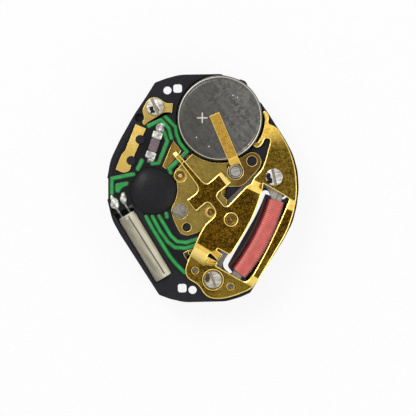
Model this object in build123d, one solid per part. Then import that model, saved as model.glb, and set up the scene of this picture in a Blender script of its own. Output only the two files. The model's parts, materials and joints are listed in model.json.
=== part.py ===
from build123d import *
from math import atan2, cos, degrees, hypot, pi, radians, sin, sqrt, tan
import os

# Driving dimensions, in millimetres. Z is zero on the dial seat and rises to the battery side.
plate_length = 18.1
plate_width = 15.2
plate_height = 1.7
web_bottom = 0.4
web_top = 0.56
overrun = 0.5
running_gap = 0.03

# Places read off the photograph, in its pixels, with the hands' axis as their centre
photo_centre_pixels = (202.8, 188.0)
photo_half_width_pixels = 95.8
photo_half_length_pixels = 114.0
photo_turn_degrees = 1.4

# Main plate
plate_outline_pixels = [
    (154.9, 82.4, 0.1), (166, 78.2), (180, 74.5), (221, 73.8), (232.8, 76.5), (245.2, 80.9, 0.1),
    (266, 109.4), (285.8, 140), (293.4, 154.7), (297.8, 170.6), (299, 188.8), (296.9, 206.5),
    (292.8, 222.4), (284, 239.4), (250.2, 292.9, 0.1), (240.2, 297.4), (226, 301.5), (184.6, 302.4),
    (169.9, 299.1), (159, 295, 0.1), (119.9, 234.4), (112, 220), (107.1, 199.8, 0.1),
    (108, 198.6, 0.1), (108, 179, 0.1), (107.1, 177.8, 0.1), (110.2, 160), (119.6, 140),
    (134.6, 113.5), (144.6, 98.8),
]
slot_pixels = [
    (262.5, 190.5), (267, 190), (273, 194.5), (272, 196), (265.5, 194, 0.1), (262, 203), (255, 218),
    (246, 233), (230, 261), (227.5, 266), (232.5, 272.5, 0.1), (230, 274), (223.5, 268), (223, 262.5),
    (243, 232), (254, 212), (259, 200),
]
wedge_slot_pixels = [(281.5, 198.6), (286.5, 194.5), (288, 196.5), (283.5, 199.5)]
dial_foot_radius = 0.33
dial_foot_pixels = [(167.3, 90), (192.5, 290.2)]
square_hole_width = 0.7
square_hole_pixels = [(177.5, 88.1), (182.1, 288.4)]
peg_radius = 0.35
peg_height = 0.28
peg_pixels = [(140, 139.5), (131, 160.5)]
recess_radius = 0.35
recess_depth = 0.45
recess_pixels = [(139.2, 117.8), (115.2, 211.5)]
corner_round = 0.1
plate_round_share = 0.3
round_share = 0.42

# Battery, its floor and its strap
battery_pixels = (219.7, 118.2)
battery_diameter = 6.8
battery_height = 2.15
battery_wall = 0.15
battery_edge_round = 0.3
battery_crimp_height = 0.12
battery_crimp_width = 0.45
battery_cap_stand = 0.1
battery_cap_height = 0.84
battery_cap_inset = 0.65
battery_separator_height = 0.06
battery_pocket_gap = 0.1
battery_floor = 0.25
insulator_height = 0.05
contact_strip_height = 0.06
contact_strip_width = 0.8
strap_line_pixels = [(214.2, 114.3), (238.2, 171)]
strap_rivet_pixels = (235.5, 171.6)
strap_width = 0.83
strap_thickness = 0.1
strap_fold_inset = 0.17
strap_slope_length = 0.68
strap_tab_radius = 0.66
strap_rivet_radius = 0.55
strap_rivet_height = 0.13
strap_rivet_shank = 0.25
rivet_depth = 0.5

# Circuit board and what it carries
board_thickness = 0.1
board_gap = 0.08
board_outline_pixels = [
    (164, 112.5), (177, 124.5), (177.7, 134), (182, 144), (190, 152.5), (184, 159.5), (173, 170),
    (173.5, 180), (175, 190), (173.5, 198), (168.5, 208), (169, 217), (177, 234), (182, 239),
    (190, 238.8), (199, 236), (203, 240), (196, 258), (188, 279), (172, 268), (139, 208), (131, 206),
    (118, 213), (113, 207), (109.5, 197), (109.5, 179), (113, 163), (121, 147), (134, 122),
    (142, 126), (147, 125.5),
]
track_width = 0.25
track_thickness = 0.03
track_pixels = [
    [(163.5, 114.8), (175.5, 127), (176.5, 134), (180, 143), (187, 151.5), (169.2, 169), (170.5, 172.6)],
    [(148.5, 126), (161, 119.7), (168.8, 128.4), (171.2, 138)],
    [(162, 128), (164.5, 133.5), (167.2, 141.5), (158.5, 163), (152, 163.6)],
    [(142, 160.5), (137.6, 169.2)],
    [(133.5, 174.2), (111.8, 178.7), (111.6, 193.2)],
    [(146.2, 217), (152, 228), (169.5, 256), (176, 264), (185, 273)],
    [(152.6, 217), (160, 231), (168, 242), (175, 247.5), (186, 248.3), (195.5, 245.4)],
    [(159.2, 216.4), (165, 226), (171, 236), (177, 241.5), (186, 242.6), (197.4, 239.4)],
    [(166.4, 213.8), (166.8, 217)],
]
track_pad_pixels = [
    (128.2, 181.7), (127.8, 184.8), (121.6, 187.5), (118.4, 192.8), (115.3, 191.3), (115.3, 184),
]
chip_pixels = (152.5, 192.4)
chip_radius = 1.78
chip_height = 0.5
die_width = 1.1
die_height = 0.25
capacitor_end_pixels = [(149.5, 158.6), (158.5, 131.6)]
capacitor_width = 0.8
capacitor_height = 0.5
capacitor_cap_length = 0.62
solder_length = 0.32
solder_height_share = 0.8
triangle_pixels = [
    (173, 140, 0.05), (181, 150.5, 0.1), (180, 152.5, 0.1), (166, 169, 0.05), (162.3, 166.5, 0.1),
    (170, 148, 0.1),
]
triangle_height = 0.06
contact_thickness = 0.12
contact_plate_pixels = [
    (135.5, 124, 0.05), (146, 128.5, 0.05), (143, 135, 0.1), (138.5, 145.5), (134, 155.5), (129.5, 171),
    (123.5, 173), (115.5, 169.5, 0.05), (121.2, 154.8), (125, 150.5, 0.1),
]
loop_contact_pixels = [
    (182.8, 253), (190.5, 249.3), (197, 250, 0.1), (193, 262, 0.1), (188.6, 262), (184.6, 256.6),
]
loop_hole_pixels = [(189.9, 252.8), (188, 257.9)]
loop_hole_radius = 0.11
loop_height = 0.09

# Crystal
crystal_end_pixels = [(126.2, 215.2), (163.9, 277.9)]
crystal_radius = 0.75
crystal_wall = 0.08
crystal_axis_height = 1.42
crystal_groove_gap = 0.05
crystal_base_length = 0.45
crystal_edge_round = 0.12
crystal_lead_radius = 0.09
crystal_lead_spread = 0.37
crystal_lead_length = 1.25
crystal_lead_rise_start = 0.16
crystal_lead_rise_end = 0.52
crystal_lead_bend = 0.13
crystal_lead_lift = 0.03
fork_length = 3.6
fork_width = 0.5
fork_thickness = 0.12
fork_slot_width = 0.12
fork_slot_length = 2.6
solder_triangle_pixels = [(110.8, 196), (118.6, 205), (118.6, 208.2), (112.8, 208.3), (110.8, 199)]
solder_oval_pixels = (123.1, 197.9)
solder_oval_length = 0.52
solder_oval_width = 0.22
solder_rise = 0.27
solder_round_share = 0.2

# Train bridge
bridge_thickness = 0.2
bridge_outline_pixels = [
    (186, 160, 0.1), (192.5, 153.5, 0.05), (244, 155), (252, 151.5), (258.5, 154), (262, 160.5),
    (260.5, 167.2), (245, 184.3), (240.5, 186.6), (226.5, 186.8, 0.1), (221.8, 190.8, 0.1),
    (222.3, 194.8, 0.1), (227.4, 199.8, 0.1), (226.5, 206), (222, 212), (214, 223), (199, 232.5),
    (187, 236), (181, 234), (178, 230), (173, 219), (170.8, 210), (172, 206), (175.5, 200), (177.5, 190),
    (176.5, 181.5), (174, 176), (175.5, 170),
]
bridge_hole_pixels = [(252, 161), (186.6, 227.2)]
bridge_hole_radii = [0.39, 0.33]
bridge_rivet_pixels = (180, 211.2)
bridge_rivet_radius = 0.6
bridge_rivet_height = 0.05
bridge_rivet_shank = 0.3
bridge_battery_gap = 0.13

# Cover plate: a stamped sheet on two levels, joined by folds
cover_thickness = 0.15
cover_rise = 0.12
cover_outline_pixels = [
    (263, 112.5), (264.2, 111), (266, 111.2), (268.5, 114.5), (269, 118), (268.3, 121.5), (269, 123.8),
    (275, 126.5), (278, 129), (287, 144), (291.5, 155), (294.8, 166), (296.5, 178), (297, 190),
    (296, 202), (293, 215), (287, 232), (258, 281), (250.5, 289.5), (237, 295), (227, 298), (219, 299),
    (212, 298.5), (207, 296.5), (203, 292.5), (200.5, 288), (197, 284), (190, 280), (186.5, 276.5),
    (185, 270), (187.5, 261.5), (200, 233.5), (206, 223.5), (213.5, 217.5), (215.7, 213), (214, 208.5),
    (210, 203.5), (207.5, 202.5), (205.5, 203.2), (196, 211.3, 0.05), (187, 200, 0.05), (196, 193.5),
    (198, 190), (197.5, 186), (181, 163.5, 0.1), (171.8, 153.5, 0.05), (175.5, 150.5, 0.05),
    (203, 182), (207, 184), (210.5, 181.5), (222, 171, 0.05), (231, 182.5, 0.05), (218.5, 192.5),
    (216.5, 196.5), (224, 205.8), (226.5, 206.3), (229, 205), (247, 186, 0.2), (251.5, 183.5, 0.1),
    (254, 178, 0.05), (262, 169.5), (265.5, 160), (270.3, 142), (270, 139), (266, 138), (264.3, 139.5),
    (263, 143), (260, 146.3), (257, 148), (253, 145.5), (254.3, 143.3), (258, 142), (262, 135),
    (264.5, 126), (265.2, 118),
]
coil_window_pixels = [
    (263.5, 183.5, 0.05), (287, 197), (289.5, 199.5), (288.5, 202), (280, 222), (268, 248), (253, 275),
    (246, 283), (233, 275.5), (222, 269.2), (216, 266, 0.05), (217.5, 262, 0.05), (207, 256.5, 0.05),
    (208.5, 254.2, 0.05), (210.5, 253.2, 0.05), (214, 256.3, 0.05), (217.8, 260.6, 0.05),
    (222.3, 254.4, 0.05), (216.6, 250, 0.05), (218, 248.6, 0.1), (229, 254.5), (232, 253), (245, 232),
    (252, 219), (257, 207), (262.5, 190),
]
fold_right_pixels = [(270, 187.4), (245, 175.5)]
fold_leg_top_pixels = [(303, 203), (284.5, 197.5)]
fold_leg_foot_pixels = [(242, 280.6), (262, 293.5)]
fold_foot_pixels = [(182, 251.4), (204.5, 264.6)]
low_right_far_pixels = [(314, 206), (314, 92), (238, 92), (238, 172.2)]
low_foot_far_pixels = [(266, 312), (176, 312), (176, 247.8)]
foot_corner_pixels = (217, 264.2)
fold_width = 0.82
arm_tip_pixels = [(178.1, 147.6), (168.4, 155.6)]
arm_end_pixels = [(232.2, 184), (220.8, 169.5)]
tip_fold_width = 0.42
rotor_dimple_radius = 0.57
rotor_dimple_hole = 0.42
rotor_dimple_rise = 0.05
rotor_dish_depth = 0.06
rotor_dish_radius = 0.34

# Contact lug, screws, pillars and studs
lug_outline_pixels = [
    (155, 96.8), (150, 98), (146.5, 101.5), (142, 110), (144, 116.5), (144, 119), (142, 122.5),
    (144, 125, 0.1), (160, 115.8), (164, 112.7), (172, 112.8, 0.1), (172.8, 103.3, 0.1),
    (165.5, 103.2), (160, 98.8),
]
screw_pixels = [(155, 106.6), (274.2, 177.1), (213, 279.8)]
screw_head_radius = 0.69
screw_head_height = 0.26
screw_edge_round = 0.05
screw_slot_width = 0.18
screw_slot_depth = 0.12
screw_slot_degrees = [-68, -80, -72]
screw_shank_radius = 0.33
screw_shank_length = 1.05
pillar_radius = 0.62
pillar_depth = 1.25
countersink_radius = 0.87
countersink_depth = 0.05
stud_pixels = [(195.2, 270.6), (230.5, 286.6)]
stud_radius = 0.24
stud_ring_radius = 0.33
stud_ring_depth = 0.04
stud_length = 0.7
stud_stand = 0.04

# Stator and coil
stator_bottom = 0.7
stator_thickness = 0.4
stator_outline_pixels = [
    (227, 200), (243, 184.5), (257, 170.5), (268, 166), (281, 168), (285, 178), (279, 187), (266, 186.5),
    (260, 193), (255, 206), (247, 222), (239, 236), (229, 253), (221.5, 265), (224, 279), (212, 291),
    (200.5, 280), (202, 270), (214, 265), (221, 252), (216, 238), (216, 224), (220, 210),
]
stator_gap = 0.05
core_thickness = 0.3
core_width = 0.8
coil_arc_pixels = [(276.8, 200.5), (263.6, 235.9), (239.2, 273.4)]
coil_radius = 0.69
coil_pocket_gap = 0.11
coil_pocket_floor = 0.5
coil_lead_radius = 0.04
coil_lead_offset = 0.97
core_top_pixels = [
    (263.5, 183.5, 0.1), (263, 175), (267, 168), (274.5, 165.5), (282, 168.5), (285.5, 177), (284.8, 186),
    (283.5, 193.5, 0.1), (281.2, 204, 0.1), (272.3, 201, 0.1), (268.3, 190.5, 0.1),
]
core_foot_pixels = [
    (234.8, 267.6, 0.1), (244.4, 272.6, 0.1), (240.5, 280.8, 0.1), (230.5, 288), (221, 291.5),
    (209, 290.5), (202, 283), (203.5, 272.5), (211, 268.3), (221, 272), (230.2, 276.3, 0.1),
]

# Wheel train. Each wheel's place follows from the photograph, its module from its centre distance.
rotor_pixels = (231, 219.5)
intermediate_pixels = (211, 212.2)
third_pixels = (180, 175.6)
rotor_pinion_teeth = 8
intermediate_wheel_teeth = 48
intermediate_pinion_teeth = 12
seconds_wheel_teeth = 60
seconds_pinion_teeth = 8
third_wheel_teeth = 60
third_pinion_teeth = 8
centre_wheel_teeth = 64
cannon_teeth = 10
minute_wheel_teeth = 30
minute_pinion_teeth = 10
hour_wheel_teeth = 40
setting_wheel_teeth = 18
wheel_thickness = 0.1
pinion_length = 0.28
centre_wheel_bottom = 0.62
third_wheel_bottom = 0.88
seconds_wheel_bottom = 1.1
intermediate_wheel_bottom = 1.34
rotor_pinion_bottom = 1.26
arbor_radius = 0.07
pivot_radius = 0.05
pivot_gap = 0.012
pivot_depth = 0.09
wheel_well_gap = 0.05
magnet_radius = 0.5
magnet_height = 0.36
rotor_well_radius = 0.62
third_bush_radius = 0.5
intermediate_bush_radius = 0.4
seconds_bush_radius = 0.3
tooth_addendum_share = 1.0
tooth_dedendum_share = 1.25
tooth_root_share = 0.31
tooth_tip_share = 0.11
rim_share = 0.8
hub_share = 0.3
spoke_width = 0.22
spoke_count = 4

# Hand stack and motion works, on the dial side
seconds_arbor_radius = 0.1
seconds_arbor_end = -1.75
seconds_seat_radius = 0.085
seconds_seat_length = 0.33
centre_pipe_radius = 0.25
centre_pipe_end = -0.4
centre_tube_radius = 0.42
cannon_radius = 0.35
cannon_end = -1.4
minute_seat_radius = 0.32
minute_seat_length = 0.46
taper_end = 0
hour_pipe_radius = 0.6
hour_neck_radius = 0.44
hour_pipe_end = -0.9
motion_distance = 1.9
motion_heading_degrees = 205
cannon_wheel_bottom = 0.26
hour_wheel_bottom = 0.13
post_radius = 0.12
post_root = 0.1
recess_gap = 0.06

# Hand setting works, between the keeper plate and the cavity's roof
stem_height = 0.72
stem_bore_radius = 0.45
cavity_roof = 1.25
cavity_reach_share = 0.829
cavity_length = 2.2
cavity_half_width = 1.45
clutch_inset = 0.8
clutch_length = 0.5
clutch_radius = 0.3
clutch_bore = 0.12
clutch_groove_width = 0.18
clutch_groove_radius = 0.2
clutch_teeth = 12
slide_inset = 0.15
slide_length = 1.4
slide_half_width = 0.62
slide_bottom = 1.06
slide_thickness = 0.16
fork_prong_thickness = 0.12
fork_prong_width = 0.16
fork_prong_gap = 0.02
lever_thickness = 0.2
setting_lever_bottom = 0.84
setting_lever_shares = [(0.159, 0.724), (0.25, 0.345)]
reset_lever_bottom = 0.6
reset_lever_shares = [(0.818, -0.724), (0.273, -0.586)]
lever_eye_radius = 0.32
lever_width = 0.28
keeper_bottom = 0.02
keeper_thickness = 0.08
keeper_margin = 0.65
keeper_border_shares = [1.172, -1.345]
keeper_corner_shares = [(-0.99, -1.21), (0.12, -1.21), (0.43, -0.42), (0.22, 1.05), (-0.67, 1.32)]
keeper_round_share = 0.3
keeper_screw_margin = 0.32
keeper_screw_shares = [0.79, -1.03]
keeper_far_screw_shares = (-0.3, -1.01)
keeper_screw_head = 0.26
keeper_screw_shank = 0.13
keeper_screw_sink = 0.04

# Heights that follow
board_bottom = plate_height
board_top = board_bottom + board_thickness
bridge_top = plate_height + bridge_thickness
cover_low = bridge_top
cover_high = cover_low + cover_rise
cover_low_top = cover_low + cover_thickness
cover_high_top = cover_high + cover_thickness
battery_bottom = battery_floor + insulator_height + contact_strip_height
battery_top = battery_bottom + battery_height
battery_radius = battery_diameter / 2
stator_top = stator_bottom + stator_thickness
core_top = stator_top + core_thickness
core_middle = (stator_top + core_top) / 2
keeper_top = keeper_bottom + keeper_thickness
pivot_seat = web_top - pivot_depth


def place(pixel):
    """Point of the plan, in millimetres, for a pixel of the photograph."""
    right = pixel[0] - photo_centre_pixels[0]
    up = photo_centre_pixels[1] - pixel[1]
    turn = radians(photo_turn_degrees)
    across_share = (right * cos(turn) + up * sin(turn)) / photo_half_width_pixels
    along_share = (up * cos(turn) - right * sin(turn)) / photo_half_length_pixels
    return across_share * plate_width / 2, along_share * plate_length / 2


def rounded_face(corners, usual_share):
    """Closed face through corners, each rounded by an arc that starts a share along its shorter run."""
    turns = []
    for index, corner in enumerate(corners):
        here = Vector(corner[0], corner[1])
        before = Vector(*corners[index - 1][:2]) - here
        after = Vector(*corners[(index + 1) % len(corners)][:2]) - here
        share = corner[2] if len(corner) > 2 else usual_share
        reach = share * min(before.length, after.length)
        half_angle = radians(before.get_angle(after)) / 2
        bisector = (before.normalized() + after.normalized()).normalized()
        middle = here + bisector * (reach / cos(half_angle) - reach * tan(half_angle))
        turns.append((here + before.normalized() * reach, middle, here + after.normalized() * reach))
    edges = []
    for index, (start, middle, end) in enumerate(turns):
        edges.append(ThreePointArc(start, middle, end))
        edges.append(Line(end, turns[(index + 1) % len(turns)][0]))
    return make_face(Wire(edges))


def pixel_face(pixels, usual_share=round_share):
    """Rounded face whose corners are pixels of the photograph."""
    return rounded_face([place(p) + tuple(p[2:]) for p in pixels], usual_share)


def slab(face, low, high):
    return Pos(0, 0, low) * extrude(face, high - low)


def pixel_slab(pixels, low, high, usual_share=round_share):
    return slab(pixel_face(pixels, usual_share), low, high)


on_bottom = (Align.CENTER, Align.CENTER, Align.MIN)
on_bottom_end = (Align.MIN, Align.CENTER, Align.MIN)


def disc(radius, low, high, where=(0, 0)):
    return Pos(where[0], where[1], low) * Cylinder(radius, high - low, align=on_bottom)


def tube(outer, inner, low, high, where=(0, 0)):
    return disc(outer, low, high, where) - disc(inner, low - overrun, high + overrun, where)


def tapered(low_radius, high_radius, low, high):
    """Round bar on the hands' axis whose radius changes along it."""
    return Pos(0, 0, low) * Cone(low_radius, high_radius, high - low, align=on_bottom)


def box_between(lowest, highest):
    size = Vector(*highest) - Vector(*lowest)
    middle = (Vector(*highest) + Vector(*lowest)) * 0.5
    return Pos(middle) * Box(size.X, size.Y, size.Z)


def distance(a, b):
    return hypot(b[0] - a[0], b[1] - a[1])


def heading(a, b):
    """Direction from a to b, in degrees."""
    return degrees(atan2(b[1] - a[1], b[0] - a[0]))


def offset_place(start, heading_degrees, reach):
    turn = radians(heading_degrees)
    return start[0] + reach * cos(turn), start[1] + reach * sin(turn)


def keep(name, shape):
    export_step(shape, f"parts/{name}.step")


# Places that follow
battery_place = place(battery_pixels)
rotor_place = place(rotor_pixels)
intermediate_place = place(intermediate_pixels)
third_place = place(third_pixels)
minute_place = offset_place((0, 0), motion_heading_degrees, motion_distance)
screw_places = [place(p) for p in screw_pixels]
stud_places = [place(p) for p in stud_pixels]
cavity_left = -cavity_reach_share * plate_width / 2
cavity_right = cavity_left + cavity_length
clutch_left = cavity_left + clutch_inset
slide_left = cavity_left + slide_inset


def cavity_place(shares):
    """Place in the setting cavity, by shares of its length and of its half width."""
    return cavity_left + shares[0] * cavity_length, shares[1] * cavity_half_width


def motion_place(shares):
    """Place beside the minute wheel's axis, by shares of that axis's distance from the hands."""
    return minute_place[0] + shares[0] * motion_distance, minute_place[1] + shares[1] * motion_distance


setting_lever_place, setting_lever_tip = [cavity_place(s) for s in setting_lever_shares]
reset_lever_place, reset_lever_tip = [cavity_place(s) for s in reset_lever_shares]
keeper_screw_places = [
    (cavity_left - keeper_screw_margin, share * cavity_half_width) for share in keeper_screw_shares
]
keeper_screw_places.append(motion_place(keeper_far_screw_shares))


def pair_module(a, b, teeth_a, teeth_b):
    """Module of two gears whose pitch circles touch."""
    return 2 * distance(a, b) / (teeth_a + teeth_b)


rotor_module = pair_module(rotor_place, intermediate_place, rotor_pinion_teeth, intermediate_wheel_teeth)
intermediate_module = pair_module(intermediate_place, (0, 0), intermediate_pinion_teeth, seconds_wheel_teeth)
seconds_module = pair_module((0, 0), third_place, seconds_pinion_teeth, third_wheel_teeth)
third_module = pair_module(third_place, (0, 0), third_pinion_teeth, centre_wheel_teeth)
cannon_module = 2 * motion_distance / (cannon_teeth + minute_wheel_teeth)
hour_module = 2 * motion_distance / (minute_pinion_teeth + hour_wheel_teeth)
setting_distance = cannon_module * (minute_wheel_teeth + setting_wheel_teeth) / 2
setting_place = (minute_place[0] - sqrt(setting_distance ** 2 - minute_place[1] ** 2), 0)


def tip_radius(teeth, module):
    return module * (teeth / 2 + tooth_addendum_share)


def meshed_phase(phase, teeth, other_teeth, heading_degrees):
    """Phase of a gear that lies that way from one with a given phase, so that a tooth meets a gap."""
    lead = (phase - heading_degrees) * teeth / other_teeth
    return heading_degrees + 180 + 180 / other_teeth - lead


def gear_face(teeth, module, phase):
    """Face of a toothed disc, with the middle of one tooth at the phase in degrees."""
    tip = tip_radius(teeth, module)
    root = module * (teeth / 2 - tooth_dedendum_share)
    pitch = 360 / teeth
    points = []
    for index in range(teeth):
        middle = phase + index * pitch
        for radius, share in ((root, -tooth_root_share), (tip, -tooth_tip_share),
                              (tip, tooth_tip_share), (root, tooth_root_share)):
            points.append(offset_place((0, 0), middle + share * pitch, radius))
    return make_face(Polyline(*points, close=True))


def gear(teeth, module, phase, low, high, where, bore):
    toothed = Pos(where[0], where[1], 0) * slab(gear_face(teeth, module, phase), low, high)
    return toothed - disc(bore, low - overrun, high + overrun, where)


def spoked_gear(teeth, module, phase, low, high, where, bore):
    """Toothed wheel with windows between its spokes."""
    wheel = gear(teeth, module, phase, low, high, where, bore)
    rim = rim_share * teeth * module / 2
    hub = hub_share * teeth * module / 2
    windows = tube(rim, hub, low - overrun, high + overrun)
    for index in range(spoke_count):
        spoke = Pos(rim / 2, 0, (low + high) / 2) * Box(rim, spoke_width, high - low + 4 * overrun)
        windows -= Rot(0, 0, index * 360 / spoke_count) * spoke
    return wheel - Pos(where[0], where[1], 0) * windows


# Phases, from the seconds arbor outwards, with every pair in mesh at rest
centre_heading = heading((0, 0), third_place)
intermediate_heading = heading((0, 0), intermediate_place)
rotor_heading = heading(intermediate_place, rotor_place)
setting_heading = heading(minute_place, setting_place)
third_wheel_phase = meshed_phase(0, seconds_pinion_teeth, third_wheel_teeth, centre_heading)
centre_wheel_phase = meshed_phase(0, third_pinion_teeth, centre_wheel_teeth, centre_heading + 180)
intermediate_phase = meshed_phase(0, seconds_wheel_teeth, intermediate_pinion_teeth, intermediate_heading)
rotor_phase = meshed_phase(0, intermediate_wheel_teeth, rotor_pinion_teeth, rotor_heading)
minute_wheel_phase = meshed_phase(0, cannon_teeth, minute_wheel_teeth, motion_heading_degrees)
hour_wheel_phase = meshed_phase(0, minute_pinion_teeth, hour_wheel_teeth, motion_heading_degrees + 180)
setting_phase = meshed_phase(minute_wheel_phase, minute_wheel_teeth, setting_wheel_teeth, setting_heading)


def arc_through(pixels):
    """Centre, radius, start heading and sweep, in degrees, of the arc through three pixels."""
    (ax, ay), (bx, by), (cx, cy) = [place(p) for p in pixels]
    double_area = 2 * (ax * (by - cy) + bx * (cy - ay) + cx * (ay - by))
    a, b, c = ax * ax + ay * ay, bx * bx + by * by, cx * cx + cy * cy
    centre = ((a * (by - cy) + b * (cy - ay) + c * (ay - by)) / double_area,
              (a * (cx - bx) + b * (ax - cx) + c * (bx - ax)) / double_area)
    start = heading(centre, (ax, ay))
    return centre, distance(centre, (ax, ay)), start, heading(centre, (cx, cy)) - start


coil_centre, coil_arc_radius, coil_start, coil_sweep = arc_through(coil_arc_pixels)


def along_coil(section):
    """Solid that a section swept round the coil's arc leaves; the section lies in the XZ plane."""
    swept = revolve(section, Axis.Z, abs(coil_sweep))
    return Pos(coil_centre[0], coil_centre[1], 0) * Rot(0, 0, coil_start + coil_sweep) * swept


def coil_round(radius, offset, height):
    return Plane.XZ * Pos(coil_arc_radius + offset, height) * Circle(radius)


def coil_bar(width, low, high):
    return Plane.XZ * Pos(coil_arc_radius, (low + high) / 2) * Rectangle(width, high - low)


def crystal_frame():
    """Plane whose Z runs along the crystal's axis, from its leads' end, and whose Y points up."""
    start, end = [place(p) for p in crystal_end_pixels]
    along = Vector(end[0] - start[0], end[1] - start[1], 0)
    frame = Plane(origin=(start[0], start[1], crystal_axis_height), x_dir=(-along.Y, along.X, 0), z_dir=along)
    return frame, along.length


def crystal_groove():
    """Groove that the crystal lies in, open at the top."""
    frame, length = crystal_frame()
    half = crystal_radius + crystal_groove_gap
    end = length + crystal_groove_gap
    return frame * box_between((-half, -half, -crystal_lead_rise_end), (half, half + overrun, end))


def fold_side(fold_pixels, width):
    """Corners of the strip of sheet that a fold takes, on the left of its low edge."""
    start, end = [Vector(*place(p)) for p in fold_pixels]
    along = (end - start).normalized()
    across = Vector(-along.Y, along.X) * width
    return [(v.X, v.Y, 0) for v in (start, end, end + across, start + across)]


def fold_slope(fold_pixels, width, low, high):
    """Sloping sheet from a fold's low edge up to its high edge."""
    start, end = [Vector(*place(p)) for p in fold_pixels]
    along = end - start
    side = Plane(origin=start, x_dir=(-along.Y, along.X, 0), z_dir=along)
    top = (width, high + cover_thickness), (0, low + cover_thickness)
    profile = Polyline((0, low), (width, high), *top, close=True)
    return extrude(side * make_face(profile), along.length, dir=along.normalized())


def corner_slab(corners, low, high):
    """Slab with sharp corners."""
    return slab(make_face(Polyline(*[c[:2] for c in corners], close=True)), low, high)


def low_zones(low, high):
    """The two parts of the plan where the cover lies on its lower level."""
    right = fold_right_pixels[::-1] + fold_leg_top_pixels[::-1] + low_right_far_pixels
    foot = fold_foot_pixels + [foot_corner_pixels] + fold_leg_foot_pixels + low_foot_far_pixels
    return [corner_slab([place(p) for p in zone], low, high) for zone in (right, foot)]


def cover_blank(low, high):
    """The cover's plan, with its window, between two heights."""
    window = pixel_slab(coil_window_pixels, low - overrun, high + overrun)
    return pixel_slab(cover_outline_pixels, low, high) - window


def make_cover_plate():
    low_sheet = cover_blank(cover_low, cover_low_top)
    high_sheet = cover_blank(cover_high, cover_high_top)
    column = cover_blank(cover_low - overrun, cover_high_top)
    zones = low_zones(cover_low - overrun, cover_high_top + overrun)
    cover = low_sheet & zones[0]
    cover += low_sheet & zones[1]
    folds = [
        (fold_right_pixels, fold_width, cover_low), (fold_leg_top_pixels, fold_width, cover_low),
        (fold_leg_foot_pixels, fold_width, cover_low), (fold_foot_pixels, fold_width, cover_low),
        (arm_tip_pixels, tip_fold_width, board_top + triangle_height),
        (arm_end_pixels, tip_fold_width, bridge_top),
    ]
    for zone in zones:
        high_sheet -= zone
    cut_bottom, cut_top = cover_low, cover_high_top + overrun
    slopes = []
    for pixels, width, low in folds:
        high_sheet -= corner_slab(fold_side(pixels, width), cut_bottom, cut_top)
        slopes.append(column & fold_slope(pixels, width, low, cover_high))
    cover += high_sheet
    for slope in slopes:
        cover += slope
    cover += disc(rotor_dimple_radius, cover_high_top, cover_high_top + rotor_dimple_rise, rotor_place)
    cover -= disc(rotor_dimple_hole, cover_low, cover_high_top + overrun, rotor_place)
    for where in screw_places[1:]:
        cover -= disc(screw_shank_radius + running_gap, cover_low - overrun, cover_high_top, where)
    cover -= disc(countersink_radius, cover_low_top - countersink_depth, cover_high_top, screw_places[2])
    for where in stud_places:
        cover -= disc(stud_radius + running_gap, cover_low - overrun, cover_high_top, where)
        cover -= disc(stud_ring_radius, cover_low_top - stud_ring_depth, cover_high_top, where)
    return cover


def cover_seats():
    """Raised parts of the main plate under the cover's lower level, clear of the circuit board."""
    seats = cover_blank(plate_height, cover_low)
    outline = offset(pixel_face(board_outline_pixels), board_gap)
    board = slab(outline, plate_height - overrun, cover_low + overrun)
    zones = low_zones(plate_height - overrun, cover_low + overrun)
    return (seats & zones[0]) + (seats & zones[1]) - board


def stator_block(low, high, gap):
    face = pixel_face(stator_outline_pixels)
    if gap > 0:
        face = offset(face, gap)
    return slab(face, low, high)


def train_wells(low, high):
    """Round wells for the wheels."""
    wells = disc(rotor_well_radius, low, high, rotor_place)
    for teeth, module, where in (
            (centre_wheel_teeth, third_module, (0, 0)), (third_wheel_teeth, seconds_module, third_place),
            (intermediate_wheel_teeth, rotor_module, intermediate_place)):
        wells += disc(tip_radius(teeth, module) + wheel_well_gap, low, high, where)
    return wells


def dial_recess():
    """Recess for the wheels of the dial side, and the cavity of the setting works."""
    recess = box_between((cavity_left, -cavity_half_width, -overrun),
                         (cavity_right, cavity_half_width, cavity_roof))
    for teeth, module, where in (
            (hour_wheel_teeth, hour_module, (0, 0)), (minute_wheel_teeth, cannon_module, minute_place),
            (setting_wheel_teeth, cannon_module, setting_place)):
        recess += disc(tip_radius(teeth, module) + recess_gap, -overrun, web_bottom, where)
    keeper = offset(keeper_face(), running_gap)
    return recess + slab(keeper, -overrun, keeper_top)


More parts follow.
